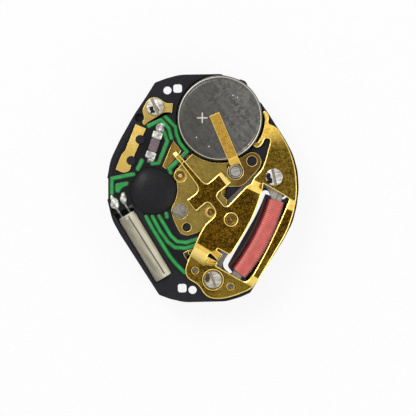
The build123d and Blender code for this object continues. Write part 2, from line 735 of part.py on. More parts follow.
def make_main_plate():
    plate = pixel_slab(plate_outline_pixels, 0, plate_height, plate_round_share)
    plate += cover_seats()
    for pixels in peg_pixels:
        plate += disc(peg_radius, plate_height, plate_height + peg_height, place(pixels))
    top = cover_high_top
    plate -= disc(battery_radius + battery_pocket_gap, battery_floor, top, battery_place)
    plate -= train_wells(web_top, top)
    plate -= stator_block(stator_bottom, top, stator_gap)
    plate -= pixel_slab(core_top_pixels, stator_top - running_gap, top)
    plate -= pixel_slab(core_foot_pixels, stator_top - running_gap, top)
    plate -= along_coil(coil_bar(2 * (coil_radius + coil_pocket_gap), coil_pocket_floor, top))
    plate -= crystal_groove()
    for pixels in (slot_pixels, wedge_slot_pixels):
        plate -= pixel_slab(pixels, -overrun, top)
    for pixels in dial_foot_pixels:
        plate -= disc(dial_foot_radius, -overrun, top, place(pixels))
    for pixels in square_hole_pixels:
        where = place(pixels)
        hole = RectangleRounded(square_hole_width, square_hole_width, 2 * corner_round)
        plate -= Pos(where[0], where[1], 0) * slab(hole, -overrun, top)
    for pixels in recess_pixels:
        plate -= disc(recess_radius, plate_height - recess_depth, top, place(pixels))
    plate -= dial_recess()
    plate -= disc(centre_tube_radius, 0, top)
    for where in (minute_place, setting_place):
        plate -= disc(post_radius, 0, web_bottom + post_root, where)
    for where in (setting_lever_place, reset_lever_place):
        plate -= disc(post_radius, 0, cavity_roof + post_root, where)
    for where in (third_place, intermediate_place, rotor_place):
        plate -= disc(pivot_radius + pivot_gap, pivot_seat - running_gap, top, where)
    for where, seat in pillar_seats():
        plate -= disc(pillar_radius, seat - pillar_depth, top, where)
    for where in stud_places:
        plate -= disc(stud_radius, cover_low_top + stud_stand - stud_length, top, where)
    plate -= disc(strap_rivet_shank, plate_height - rivet_depth, top, place(strap_rivet_pixels))
    plate -= disc(bridge_rivet_shank, plate_height - rivet_depth, top, place(bridge_rivet_pixels))
    for where in keeper_screw_places:
        plate -= disc(keeper_screw_shank, 0, web_bottom, where)
    bore = Pos(cavity_left, 0, stem_height) * Rot(0, -90, 0) * Cylinder(
        stem_bore_radius, plate_width, align=on_bottom)
    return plate - bore


def pillar_seats():
    """Place and top height of each screw pillar."""
    return [(screw_places[0], plate_height), (screw_places[1], cover_low), (screw_places[2], cover_low)]


def make_circuit_board():
    board = pixel_slab(board_outline_pixels, board_bottom, board_top)
    board -= crystal_groove()
    for pixels in peg_pixels:
        board -= disc(peg_radius, board_bottom - overrun, board_top + overrun, place(pixels))
    for pixels in recess_pixels:
        board -= disc(recess_radius, board_bottom - overrun, board_top + overrun, place(pixels))
    low, high = board_bottom - overrun, board_top + overrun
    board -= disc(screw_shank_radius + running_gap, low, high, screw_places[0])
    return board


def make_track(pixels):
    """One track: bars between its points, rounded at each of them."""
    points = [place(p) for p in pixels]
    track = disc(track_width / 2, board_top, board_top + track_thickness, points[0])
    for start, end in zip(points, points[1:]):
        bar = Box(distance(start, end), track_width, track_thickness, align=on_bottom_end)
        track += Pos(start[0], start[1], board_top) * Rot(0, 0, heading(start, end)) * bar
        track += disc(track_width / 2, board_top, board_top + track_thickness, end)
    return track


def make_copper_tracks():
    tracks = make_track(track_pixels[0])
    for pixels in track_pixels[1:]:
        tracks += make_track(pixels)
    return tracks + pixel_slab(track_pad_pixels, board_top, board_top + track_thickness)


def make_chip():
    """Resin dome, a cap of a sphere, and the die that it covers."""
    where = place(chip_pixels)
    sphere_radius = (chip_radius ** 2 + chip_height ** 2) / (2 * chip_height)
    dome = Pos(where[0], where[1], board_top + chip_height - sphere_radius) * Sphere(sphere_radius)
    dome &= disc(chip_radius + overrun, board_top, board_top + chip_height + overrun, where)
    die = Pos(where[0], where[1], board_top) * Box(die_width, die_width, die_height, align=on_bottom)
    return dome - die, die


def capacitor_bar(start_reach, end_reach, height):
    """Block along the capacitor's axis, between two distances from its lower end."""
    start, end = [place(p) for p in capacitor_end_pixels]
    bar = Box(end_reach - start_reach, capacitor_width, height, align=on_bottom_end)
    return Pos(start[0], start[1], board_top) * Rot(0, 0, heading(start, end)) * Pos(start_reach, 0, 0) * bar


def make_capacitor():
    length = distance(*[place(p) for p in capacitor_end_pixels])
    body = capacitor_bar(capacitor_cap_length, length - capacitor_cap_length, capacitor_height)
    caps = capacitor_bar(0, capacitor_cap_length, capacitor_height)
    caps += capacitor_bar(length - capacitor_cap_length, length, capacitor_height)
    return body, caps


def solder_fillet(where, turn):
    """Wedge of solder against one end of the capacitor."""
    rise = capacitor_height * solder_height_share
    profile = make_face(Polyline((0, 0), (solder_length, 0), (0, rise), close=True))
    wedge = extrude(Plane.XZ * profile, capacitor_width / 2, both=True)
    return Pos(where[0], where[1], board_top) * Rot(0, 0, turn) * wedge


def make_solder(leads):
    start, end = [place(p) for p in capacitor_end_pixels]
    turn = heading(start, end)
    solder = solder_fillet(start, turn + 180) + solder_fillet(end, turn)
    solder_top = board_top + solder_rise
    solder += pixel_slab(solder_triangle_pixels, board_top, solder_top, solder_round_share) - leads
    where = place(solder_oval_pixels)
    axis = heading(*[place(p) for p in crystal_end_pixels])
    oval = slab(Ellipse(solder_oval_length, solder_oval_width), board_top, solder_top)
    return solder + (Pos(where[0], where[1], 0) * Rot(0, 0, axis) * oval - leads)


def make_contact_plate():
    contact = pixel_slab(contact_plate_pixels, board_top, board_top + contact_thickness)
    for pixels in peg_pixels:
        contact -= disc(peg_radius, board_top - overrun, board_top + overrun, place(pixels))
    return contact


def make_contact_lug():
    lug = pixel_slab(lug_outline_pixels, board_top, board_top + contact_thickness)
    low, high = board_top - overrun, board_top + overrun
    return lug - disc(screw_shank_radius + running_gap, low, high, screw_places[0])


def make_loop_contact():
    loop = pixel_slab(loop_contact_pixels, board_top, board_top + loop_height)
    for pixels in loop_hole_pixels:
        loop -= disc(loop_hole_radius, board_top - overrun, board_top + overrun, place(pixels))
    return loop


def make_crystal():
    """Can, base, leads and tuning fork of the crystal."""
    frame, length = crystal_frame()
    can = Cylinder(crystal_radius, length, align=on_bottom)
    can = fillet(can.edges().filter_by(GeomType.CIRCLE).sort_by(Axis.Z)[-1], crystal_edge_round)
    bore = crystal_radius - crystal_wall
    can -= Pos(0, 0, -overrun) * Cylinder(bore, length + overrun - crystal_wall, align=on_bottom)
    base = Cylinder(bore, crystal_base_length, align=on_bottom)
    rise = board_top + crystal_lead_lift + crystal_lead_radius - crystal_axis_height
    leads = Part()
    for side in (-crystal_lead_spread, crystal_lead_spread):
        path = FilletPolyline(
            (side, 0, 0), (side, 0, -crystal_lead_rise_start), (side, rise, -crystal_lead_rise_end),
            (side, rise, -crystal_lead_length), radius=crystal_lead_bend)
        leads += sweep(Plane(origin=(side, 0, 0), z_dir=(0, 0, -1)) * Circle(crystal_lead_radius), path)
    fork = Pos(0, 0, crystal_base_length) * Box(fork_width, fork_thickness, fork_length, align=on_bottom)
    slot_start = crystal_base_length + fork_length - fork_slot_length
    slot = Box(fork_slot_width, 2 * fork_thickness, fork_slot_length + overrun, align=on_bottom)
    fork -= Pos(0, 0, slot_start) * slot
    return [frame * piece for piece in (can, base, leads, fork)]


def make_battery():
    """Can, gasket, cap, pellets and separator of the button cell, from its bottom upwards."""
    outer = battery_radius
    inner = outer - battery_wall
    lip = battery_bottom + battery_cap_stand
    shelf = lip + battery_crimp_height
    cap_top = battery_bottom + battery_cap_height
    cap_radius = outer - battery_cap_inset
    opening = outer - battery_crimp_width
    where = battery_place
    can = disc(outer, lip, battery_top, where)
    can = fillet(can.edges().filter_by(GeomType.CIRCLE).sort_by(Axis.Z)[-1], battery_edge_round)
    can -= disc(inner, shelf, battery_top - 2 * battery_wall, where)
    can -= disc(opening, lip - overrun, shelf + overrun, where)
    cap = disc(cap_radius, battery_bottom, cap_top, where)
    anode = disc(cap_radius - battery_wall, battery_bottom + battery_wall, cap_top, where)
    gasket = tube(opening, cap_radius, lip, shelf, where) + tube(inner, cap_radius, shelf, cap_top, where)
    separator = disc(inner, cap_top, cap_top + battery_separator_height, where)
    cathode = disc(inner, cap_top + battery_separator_height, battery_top - 2 * battery_wall, where)
    return {
        "battery_can": can, "battery_cap": cap - anode, "anode_pellet": anode, "battery_gasket": gasket,
        "battery_separator": separator, "cathode_pellet": cathode,
    }


def make_battery_strap():
    """Strap from the cell's top down to the bridge, bent just inside the cell's edge."""
    tip, foot_end = [place(p) for p in strap_line_pixels]
    rivet = place(strap_rivet_pixels)
    turn = heading(tip, foot_end)
    reach = distance(tip, foot_end)
    cell = battery_place
    ahead = (cell[0] - tip[0]) * cos(radians(turn)) + (cell[1] - tip[1]) * sin(radians(turn))
    beside = sqrt(distance(tip, cell) ** 2 - ahead ** 2)
    fold = ahead + sqrt((battery_radius - strap_fold_inset) ** 2 - beside ** 2)
    foot = fold + strap_slope_length
    low_top, high_top = bridge_top + strap_thickness, battery_top + strap_thickness
    profile = make_face(Polyline(
        (0, battery_top), (fold, battery_top), (foot, bridge_top), (reach, bridge_top), (reach, low_top),
        (foot + strap_thickness / 2, low_top), (fold + strap_thickness / 2, high_top), (0, high_top),
        close=True))
    strap = Pos(tip[0], tip[1], 0) * Rot(0, 0, turn) * extrude(Plane.XZ * profile, strap_width / 2, both=True)
    strap += disc(strap_tab_radius, bridge_top, bridge_top + strap_thickness, rivet)
    return strap - disc(strap_rivet_shank, bridge_top - overrun, battery_top, rivet)


def make_strap_rivet():
    where = place(strap_rivet_pixels)
    head_bottom = bridge_top + strap_thickness
    head = disc(strap_rivet_radius, head_bottom, head_bottom + strap_rivet_height, where)
    return head + disc(strap_rivet_shank, plate_height - rivet_depth, head_bottom, where)


def make_battery_floor():
    """Insulating film and the strip that touches the cell's cap."""
    strip_bottom = battery_floor + insulator_height
    film = disc(battery_radius + battery_pocket_gap / 2, battery_floor, strip_bottom, battery_place)
    strip = Pos(battery_place[0], battery_place[1], strip_bottom) * Box(
        battery_radius, contact_strip_width, contact_strip_height, align=(Align.MAX, Align.CENTER, Align.MIN))
    strip += disc(contact_strip_width / 2, strip_bottom, battery_bottom, battery_place)
    return film, strip


def make_train_bridge():
    bridge = pixel_slab(bridge_outline_pixels, plate_height, bridge_top)
    low, high = plate_height - overrun, bridge_top + overrun
    bridge -= disc(battery_radius + bridge_battery_gap, low, high, battery_place)
    for pixels, radius in zip(bridge_hole_pixels, bridge_hole_radii):
        bridge -= disc(radius, low, high, place(pixels))
    bridge -= disc(bridge_rivet_radius, low, high, place(bridge_rivet_pixels))
    bridge -= disc(strap_rivet_shank, low, high, place(strap_rivet_pixels))
    for where, radius in bush_places():
        bridge -= disc(radius, low, high, where)
    return bridge


def bush_places():
    return [(third_place, third_bush_radius), (intermediate_place, intermediate_bush_radius),
            ((0, 0), seconds_bush_radius)]


def make_upper_bushes():
    bores = [pivot_radius, pivot_radius, seconds_arbor_radius]
    bushes = Part()
    for (where, radius), bore in zip(bush_places(), bores):
        bushes += tube(radius, bore + pivot_gap, plate_height, bridge_top, where)
    return bushes


def make_bridge_rivet():
    where = place(bridge_rivet_pixels)
    rivet = disc(bridge_rivet_radius, plate_height, bridge_top + bridge_rivet_height, where)
    return rivet + disc(bridge_rivet_shank, plate_height - rivet_depth, plate_height, where)


def make_rotor_bush():
    bush = tube(rotor_dimple_hole, pivot_radius + pivot_gap, cover_high, cover_high_top, rotor_place)
    dish = disc(rotor_dish_radius, cover_high_top - rotor_dish_depth, cover_high_top + overrun, rotor_place)
    return bush - dish


def make_screws():
    """Three slotted screws, each with its head on the piece that it holds."""
    seats = [board_top + contact_thickness, cover_low_top, cover_low_top - countersink_depth]
    screws = Part()
    for where, seat, turn in zip(screw_places, seats, screw_slot_degrees):
        head = disc(screw_head_radius, 0, screw_head_height)
        head = fillet(head.edges().filter_by(GeomType.CIRCLE).sort_by(Axis.Z)[-1], screw_edge_round)
        slot = Box(3 * screw_head_radius, screw_slot_width, 2 * screw_slot_depth)
        head -= Pos(0, 0, screw_head_height) * Rot(0, 0, turn) * slot
        head += disc(screw_shank_radius, -screw_shank_length, 0)
        screws += Pos(where[0], where[1], seat) * head
    return screws


def make_pillars():
    pillars = Part()
    for where, seat in pillar_seats():
        pillars += tube(pillar_radius, screw_shank_radius, seat - pillar_depth, seat, where)
    return pillars


def make_studs():
    top = cover_low_top + stud_stand
    studs = Part()
    for where in stud_places:
        studs += disc(stud_radius, top - stud_length, top, where)
    return studs


def make_stator():
    stator = stator_block(stator_bottom, stator_top, 0)
    stator -= disc(rotor_well_radius, stator_bottom - overrun, stator_top + overrun, rotor_place)
    for where in screw_places[1:]:
        stator -= disc(pillar_radius, stator_bottom - overrun, stator_top + overrun, where)
    return stator


def make_coil_core():
    core = along_coil(coil_bar(core_width, stator_top, core_top))
    core += pixel_slab(core_top_pixels, stator_top, core_top)
    core += pixel_slab(core_foot_pixels, stator_top, core_top)
    for where in screw_places[1:]:
        core -= disc(pillar_radius, stator_top - overrun, core_top + overrun, where)
    return core


def make_coil_winding(core):
    return along_coil(coil_round(coil_radius, 0, core_middle)) - core


def make_coil_lead():
    return along_coil(coil_round(coil_lead_radius, -coil_lead_offset, plate_height + coil_lead_radius))


def arbor(low, high, radius, where):
    """Arbor with a thinner pivot at each end."""
    return disc(radius, low, high, where) + disc(pivot_radius, pivot_seat, low, where)


def upper_pivot(low, high, where):
    return disc(pivot_radius, low, high, where)


def make_rotor():
    magnet_bottom = stator_bottom + running_gap
    magnet = tube(magnet_radius, arbor_radius, magnet_bottom, magnet_bottom + magnet_height, rotor_place)
    shoulder = cover_high - running_gap
    pinion = arbor(web_top + running_gap, shoulder, arbor_radius, rotor_place)
    pinion += upper_pivot(shoulder, cover_high_top - rotor_dish_depth, rotor_place)
    leaves = gear(rotor_pinion_teeth, rotor_module, rotor_phase, rotor_pinion_bottom,
                  rotor_pinion_bottom + pinion_length, rotor_place, arbor_radius)
    return magnet, pinion + leaves


def make_intermediate():
    low = intermediate_wheel_bottom
    wheel = spoked_gear(intermediate_wheel_teeth, rotor_module, 0, low, low + wheel_thickness,
                        intermediate_place, arbor_radius)
    shoulder = plate_height - running_gap
    pinion = arbor(web_top + running_gap, shoulder, arbor_radius, intermediate_place)
    pinion += upper_pivot(shoulder, bridge_top, intermediate_place)
    leaves = gear(intermediate_pinion_teeth, intermediate_module, intermediate_phase,
                  low - pinion_length, low, intermediate_place, arbor_radius)
    return wheel, pinion + leaves


def make_seconds():
    low = seconds_wheel_bottom
    wheel = spoked_gear(seconds_wheel_teeth, intermediate_module, 0, low, low + wheel_thickness,
                        (0, 0), seconds_arbor_radius)
    seat_top = seconds_arbor_end + seconds_seat_length
    shaft = disc(seconds_seat_radius, seconds_arbor_end, seat_top)
    shaft += tapered(seconds_seat_radius, seconds_arbor_radius, seat_top, taper_end)
    shaft += disc(seconds_arbor_radius, taper_end, bridge_top)
    leaves = gear(seconds_pinion_teeth, seconds_module, 0, low - pinion_length, low,
                  (0, 0), seconds_arbor_radius)
    return wheel, shaft + leaves


def make_third():
    low = third_wheel_bottom
    wheel = spoked_gear(third_wheel_teeth, seconds_module, third_wheel_phase, low, low + wheel_thickness,
                        third_place, arbor_radius)
    shoulder = plate_height - running_gap
    pinion = arbor(web_top + running_gap, shoulder, arbor_radius, third_place)
    pinion += upper_pivot(shoulder, bridge_top, third_place)
    leaves = gear(third_pinion_teeth, third_module, 0, low - pinion_length + running_gap, low,
                  third_place, arbor_radius)
    return wheel, pinion + leaves


def make_centre():
    """Centre wheel with its pipe, and the cannon pinion on the pipe."""
    low = centre_wheel_bottom
    wheel = spoked_gear(centre_wheel_teeth, third_module, centre_wheel_phase, low, low + wheel_thickness,
                        (0, 0), seconds_arbor_radius + running_gap)
    wheel += tube(centre_pipe_radius, seconds_arbor_radius + running_gap, centre_pipe_end, low)
    seat_top = cannon_end + minute_seat_length
    top = cannon_wheel_bottom + wheel_thickness
    cannon = disc(minute_seat_radius, cannon_end, seat_top)
    cannon += tapered(minute_seat_radius, cannon_radius, seat_top, taper_end)
    cannon += disc(cannon_radius, taper_end, top)
    cannon += gear(cannon_teeth, cannon_module, 0, cannon_wheel_bottom, top, (0, 0), centre_pipe_radius)
    cannon -= disc(seconds_arbor_radius + running_gap, cannon_end - overrun, top)
    return wheel, cannon - disc(centre_pipe_radius, centre_pipe_end, top + overrun)


def make_centre_tube():
    """Short bush in the web that the centre pipe turns in."""
    return tube(centre_tube_radius, centre_pipe_radius + running_gap, web_bottom, web_top)


def make_motion_works():
    low = cannon_wheel_bottom
    bore = post_radius + running_gap
    wheel = spoked_gear(minute_wheel_teeth, cannon_module, minute_wheel_phase, low, low + wheel_thickness,
                        minute_place, bore)
    pinion = gear(minute_pinion_teeth, hour_module, 0, hour_wheel_bottom, low, minute_place, bore)
    hour = gear(hour_wheel_teeth, hour_module, hour_wheel_phase, hour_wheel_bottom,
                hour_wheel_bottom + wheel_thickness, (0, 0), cannon_radius + running_gap)
    hour += tube(hour_pipe_radius, cannon_radius + running_gap, hour_pipe_end, 0)
    hour += tube(hour_neck_radius, cannon_radius + running_gap, 0, hour_wheel_bottom)
    setting = gear(setting_wheel_teeth, cannon_module, setting_phase, low, low + wheel_thickness,
                   setting_place, bore)
    return wheel, pinion, hour, setting


def make_posts():
    posts = Part()
    for where in (minute_place, setting_place):
        posts += disc(post_radius, keeper_top, web_bottom + post_root, where)
    for where in (setting_lever_place, reset_lever_place):
        posts += disc(post_radius, keeper_top, cavity_roof + post_root, where)
    return posts


def keeper_face():
    left = cavity_left - keeper_margin
    corners = [(left, share * cavity_half_width) for share in keeper_border_shares]
    return rounded_face(corners + [motion_place(s) for s in keeper_corner_shares], keeper_round_share)


def make_keeper_plate():
    keeper = slab(keeper_face(), keeper_bottom, keeper_top)
    keeper -= disc(hour_pipe_radius + recess_gap, -overrun, web_bottom)
    for where in keeper_screw_places:
        keeper -= disc(keeper_screw_shank + pivot_gap, -overrun, web_bottom, where)
        keeper -= disc(keeper_screw_head + pivot_gap, -overrun, keeper_bottom + keeper_screw_sink, where)
    return keeper


def make_keeper_screws():
    screws = Part()
    for where in keeper_screw_places:
        screws += disc(keeper_screw_head, keeper_bottom, keeper_bottom + keeper_screw_sink, where)
        screws += disc(keeper_screw_shank, keeper_bottom + keeper_screw_sink, web_bottom, where)
    return screws


def make_clutch():
    """Sliding pinion on the stem's axis, with a groove for the slide's fork."""
    module = clutch_radius / (clutch_teeth / 2 + tooth_addendum_share)
    clutch = slab(gear_face(clutch_teeth, module, 0), 0, clutch_length)
    clutch -= slab(Rectangle(2 * clutch_bore, 2 * clutch_bore), -overrun, clutch_length + overrun)
    groove_start = (clutch_length - clutch_groove_width) / 2
    clutch -= tube(2 * clutch_radius, clutch_groove_radius, groove_start, groove_start + clutch_groove_width)
    return Pos(clutch_left, 0, stem_height) * Rot(0, 90, 0) * clutch


def make_setting_slide():
    """Slide with a two-pronged fork that stands in the clutch's groove."""
    top = slide_bottom + slide_thickness
    slide_end = slide_left + slide_length
    slide = box_between((slide_left, -slide_half_width, slide_bottom), (slide_end, slide_half_width, top))
    middle = clutch_left + clutch_length / 2
    inner = clutch_groove_radius + fork_prong_gap
    for side in (-1, 1):
        near, far = sorted((side * inner, side * (inner + fork_prong_width)))
        slide += box_between((middle - fork_prong_thickness / 2, near, stem_height),
                             (middle + fork_prong_thickness / 2, far, slide_bottom))
    return slide


def make_lever(where, tip, low):
    """Flat lever with an eye on its post and a rounded tip."""
    high = low + lever_thickness
    lever = disc(lever_eye_radius, low, high, where) + disc(lever_width / 2, low, high, tip)
    bar = Box(distance(where, tip), lever_width, lever_thickness, align=on_bottom_end)
    lever += Pos(where[0], where[1], low) * Rot(0, 0, heading(where, tip)) * bar
    return lever - disc(post_radius + running_gap, low - overrun, high + overrun, where)


os.makedirs("parts", exist_ok=True)
core = make_coil_core()
dome, die = make_chip()
capacitor_body, capacitor_caps = make_capacitor()
can, base, leads, fork = make_crystal()
film, strip = make_battery_floor()
magnet, rotor_pinion = make_rotor()
intermediate_wheel, intermediate_pinion = make_intermediate()
seconds_wheel, seconds_arbor = make_seconds()
third_wheel, third_pinion = make_third()
centre_wheel, cannon_pinion = make_centre()
minute_wheel, minute_pinion, hour_wheel, setting_wheel = make_motion_works()
nodes = {
    "main_plate": make_main_plate(), "circuit_board": make_circuit_board(),
    "copper_tracks": make_copper_tracks(), "chip_cover": dome, "chip_die": die,
    "capacitor_body": capacitor_body, "capacitor_end_caps": capacitor_caps, "crystal_can": can,
    "crystal_base": base, "crystal_leads": leads, "quartz_fork": fork, "solder_joints": make_solder(leads),
    "pad_contact": pixel_slab(triangle_pixels, board_top, board_top + triangle_height),
    "contact_plate": make_contact_plate(), "contact_lug": make_contact_lug(),
    "loop_contact": make_loop_contact(), "battery_insulator": film, "negative_contact": strip,
    "battery_strap": make_battery_strap(), "strap_rivet": make_strap_rivet(),
    "train_bridge": make_train_bridge(), "upper_bushes": make_upper_bushes(),
    "bridge_rivet": make_bridge_rivet(), "cover_plate": make_cover_plate(),
    "rotor_bush": make_rotor_bush(), "cover_screws": make_screws(), "screw_pillars": make_pillars(),
    "locating_studs": make_studs(), "stator": make_stator(), "coil_core": core,
    "coil_winding": make_coil_winding(core), "coil_lead": make_coil_lead(), "rotor_magnet": magnet,
    "rotor_pinion": rotor_pinion, "intermediate_wheel": intermediate_wheel,
    "intermediate_pinion": intermediate_pinion, "seconds_wheel": seconds_wheel,
    "seconds_arbor": seconds_arbor, "third_wheel": third_wheel, "third_pinion": third_pinion,
    "centre_wheel": centre_wheel, "cannon_pinion": cannon_pinion, "centre_tube": make_centre_tube(),
    "minute_wheel": minute_wheel, "minute_pinion": minute_pinion, "hour_wheel": hour_wheel,
    "setting_wheel": setting_wheel, "pivot_posts": make_posts(), "keeper_plate": make_keeper_plate(),
    "keeper_screws": make_keeper_screws(), "clutch_pinion": make_clutch(),
    "setting_slide": make_setting_slide(),
    "setting_lever": make_lever(setting_lever_place, setting_lever_tip, setting_lever_bottom),
    "reset_lever": make_lever(reset_lever_place, reset_lever_tip, reset_lever_bottom),
}
nodes.update(make_battery())
for name, shape in nodes.items():
    keep(name, shape)
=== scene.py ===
import json
from math import cos, pi, radians, sin

import bmesh
import bpy
import numpy as np
from bpy.props import FloatProperty, FloatVectorProperty, IntProperty, PointerProperty
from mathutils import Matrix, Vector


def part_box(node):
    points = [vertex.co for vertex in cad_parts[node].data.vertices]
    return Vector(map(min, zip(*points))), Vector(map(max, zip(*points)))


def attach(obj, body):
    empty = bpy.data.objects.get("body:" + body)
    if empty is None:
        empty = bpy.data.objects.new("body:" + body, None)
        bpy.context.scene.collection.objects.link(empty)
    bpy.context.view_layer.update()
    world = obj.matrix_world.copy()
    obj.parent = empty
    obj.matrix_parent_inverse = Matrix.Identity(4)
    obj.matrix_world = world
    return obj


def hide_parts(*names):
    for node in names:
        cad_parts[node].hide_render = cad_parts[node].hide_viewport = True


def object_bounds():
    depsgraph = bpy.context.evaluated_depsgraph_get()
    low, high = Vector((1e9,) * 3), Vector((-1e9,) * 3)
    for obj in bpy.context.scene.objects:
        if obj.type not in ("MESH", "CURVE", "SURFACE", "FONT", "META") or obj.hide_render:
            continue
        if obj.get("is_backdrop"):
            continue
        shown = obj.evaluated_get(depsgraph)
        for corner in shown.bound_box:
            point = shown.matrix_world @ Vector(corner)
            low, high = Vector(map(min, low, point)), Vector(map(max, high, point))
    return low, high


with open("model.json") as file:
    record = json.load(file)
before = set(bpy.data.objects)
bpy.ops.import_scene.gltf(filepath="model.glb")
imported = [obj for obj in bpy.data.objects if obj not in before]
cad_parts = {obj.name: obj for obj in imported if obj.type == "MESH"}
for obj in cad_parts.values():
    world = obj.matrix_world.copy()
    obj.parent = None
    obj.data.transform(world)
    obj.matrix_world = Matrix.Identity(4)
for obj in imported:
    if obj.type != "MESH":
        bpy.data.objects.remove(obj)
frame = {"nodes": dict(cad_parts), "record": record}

bl_info = {
    "name": "Quartz watch movement",
    "version": (1, 0, 0),
    "blender": (4, 5, 0),
    "location": "View3D > Sidebar > Movement",
    "description": "Gives the packed movement its plates, cell, coil, board, contacts, screws and stage",
    "category": "Object",
}

# Scale and places, with the hands' axis as the photograph's centre
MM = 0.001
PHOTO_CENTRE = (202.8, 188.0)
PHOTO_HALF_SIZE = (95.8, 114.0)
PLATE_HALF_SIZE = (7.6 * MM, 9.05 * MM)
PHOTO_TURN = radians(1.4)
PHOTO_FRAME = 416

MOVEMENT = "movement"
BATTERY_PIXEL = (219.7, 118.2)
CHIP_PIXEL = (153.2, 191.2)
CAPACITOR_PIXELS = [(149.5, 158.6), (158.5, 131.6)]
COIL_ARC_PIXELS = [(276.8, 200.5), (263.6, 235.9), (239.2, 273.4)]
CRYSTAL_PIXELS = [(126.2, 215.2), (163.9, 277.9)]
CRYSTAL_HEIGHT = 1.42 * MM
COIL_HEIGHT = 1.25 * MM
ROTOR_PIXEL = (231, 219.5)
THIRD_PIXEL = (180, 175.6)
INTERMEDIATE_PIXEL = (211, 212.2)
BRIDGE_RIVET_PIXEL = (180, 211.2)
STRAP_RIVET_PIXEL = (235.5, 171.6)
SCREW_PIXELS = [(155, 106.6), (274.2, 177.1), (213, 279.8)]
STUD_PIXELS = [(195.2, 270.6), (230.5, 286.6)]


def place(pixel):
    """Plan position, in metres, of a pixel of the photograph."""
    right, up = pixel[0] - PHOTO_CENTRE[0], PHOTO_CENTRE[1] - pixel[1]
    across = (right * cos(PHOTO_TURN) + up * sin(PHOTO_TURN)) / PHOTO_HALF_SIZE[0]
    along = (up * cos(PHOTO_TURN) - right * sin(PHOTO_TURN)) / PHOTO_HALF_SIZE[1]
    return np.array([across * PLATE_HALF_SIZE[0], along * PLATE_HALF_SIZE[1]])


def point(pixel):
    """A pixel's place as a point at the dial seat's height."""
    return (*place(pixel), 0.0)


def line_between(first, last):
    """Start, direction and length of the line between two pixels' places."""
    start, end = place(first), place(last)
    length = float(np.linalg.norm(end - start))
    return start, (end - start) / length, length


def top_of(node):
    """Greatest height of a node."""
    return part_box(node)[1].z


def bottom_of(node):
    """Least height of a node."""
    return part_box(node)[0].z


def colour(red, green, blue):
    """Linear colour of an sRGB one given from 0 to 255."""
    share = np.array([red, green, blue]) / 255
    linear = np.where(share <= 0.04045, share / 12.92, ((share + 0.055) / 1.055) ** 2.4)
    return (*map(float, linear), 1.0)


def tint(name, told, red, green, blue):
    """Setting for a colour, with its sRGB default from 0 to 255."""
    return FloatVectorProperty(name=name, description=told, default=colour(red, green, blue), size=4, subtype="COLOR")


def measure(name, told, millimetres):
    """Setting for a length, with its default in mm."""
    return FloatProperty(name=name, description=told, default=millimetres * MM, subtype="DISTANCE")


class SheetSettings(bpy.types.PropertyGroup):
    """Colours of the gilt sheets"""
    # The edge line and fold colours are painted highlights, lit tones of the same gilt as the dark flats
    line: tint("Edge line", "Colour of a gilt sheet's bright edges", 250, 214, 118)
    fold: tint("Fold", "Colour of the gilt sheet's sloping folds", 252, 210, 106)
    flat: tint("Flat", "Colour of the cover's pebbled flats", 78, 55, 2)
    bridge: tint("Bridge", "Colour of the matte bridge", 139, 117, 49)
    contact: tint("Contacts", "Colour of the gilt contacts", 197, 165, 80)


class CoilSettings(bpy.types.PropertyGroup):
    """Turns, sizes and enamel of the coil"""
    turns: IntProperty(name="Turns shown", description="Turns in the winding's outer layer", default=42)
    radius: measure("Radius", "Radius of the winding", 0.68)
    wire: measure("Wire relief", "Depth of the grooves between turns", 0.014)
    red: tint("Enamel", "Colour of the wire's enamel", 206, 96, 87)


class BoardSettings(bpy.types.PropertyGroup):
    """Colours of the plate, the tracks and the resin"""
    plastic: tint("Plastic", "Colour of the moulded main plate", 33, 33, 39)
    lacquer: tint("Lacquer", "Colour of the tracks' green lacquer", 22, 150, 62)
    resin: tint("Resin", "Colour of the resin over the chip", 28, 28, 30)


class CellSettings(bpy.types.PropertyGroup):
    """Size and colour of the button cell"""
    radius: measure("Radius", "Radius of the button cell", 3.4)
    steel: tint("Steel", "Colour of the cell's worn top", 108, 106, 102)


class StageSettings(bpy.types.PropertyGroup):
    """The camera's height and the lamps' power"""
    camera_height: FloatProperty(name="Camera height", description="Height of the lens over the cover plate",
                                 default=0.3, unit="LENGTH")
    lamp_power: FloatProperty(name="Lamp power", description="Power of the key lamp, in watts", default=0.32)


# Meshes

# Numbers of a copied sheet's materials, and the rises of a face's normal that tell flats, slopes and sides apart
FLAT, SLOPE, SIDE, STRIP = range(4)
FLAT_RISE, SLOPE_RISE, UPRIGHT_RISE = 0.999, 0.3, 0.5
# Numbers of a turned piece's materials after its first
RING, STONE = 1, 2
# Angles from which an edge is shaded sharp
SHARP, SOFT_SHARP, STAMPED_SHARP = radians(32), radians(60), radians(14)
GRID_MERGE, COPY_MERGE, STAMPED_MERGE = 0.0002 * MM, 0.0003 * MM, 0.003 * MM
# The angle within which faces lie in one plane, and the one from which a bevel rounds an edge, in its steps
ONE_PLANE, BEVEL_ANGLE, BEVEL_STEPS = radians(1.5), radians(28), 2
# Longest inset of a strip's corner, in widths of the strip
LONGEST_INSET = 2.2
LUMP_GRID = (15, 56)
LUMP_EDGE_POWER = 0.55


def grid_faces(rows, columns):
    """Quads between neighbouring points of a grid, whose last column meets its first one."""
    index = np.arange(rows * columns).reshape(rows, columns)
    index = np.hstack([index, index[:, :1]])
    corners = index[:-1, :-1], index[:-1, 1:], index[1:, 1:], index[1:, :-1]
    return np.stack(corners, -1).reshape(-1, 4)


def tidy_mesh(mesh, merge, flat_angle=None):
    """Merges points closer than a distance, and joins faces that lie in one plane."""
    work = bmesh.new()
    work.from_mesh(mesh)
    bmesh.ops.remove_doubles(work, verts=work.verts, dist=merge)
    bmesh.ops.dissolve_degenerate(work, edges=work.edges, dist=merge)
    if flat_angle is not None:
        bmesh.ops.dissolve_limit(work, angle_limit=flat_angle, verts=work.verts, edges=work.edges)
    work.to_mesh(mesh)
    work.free()


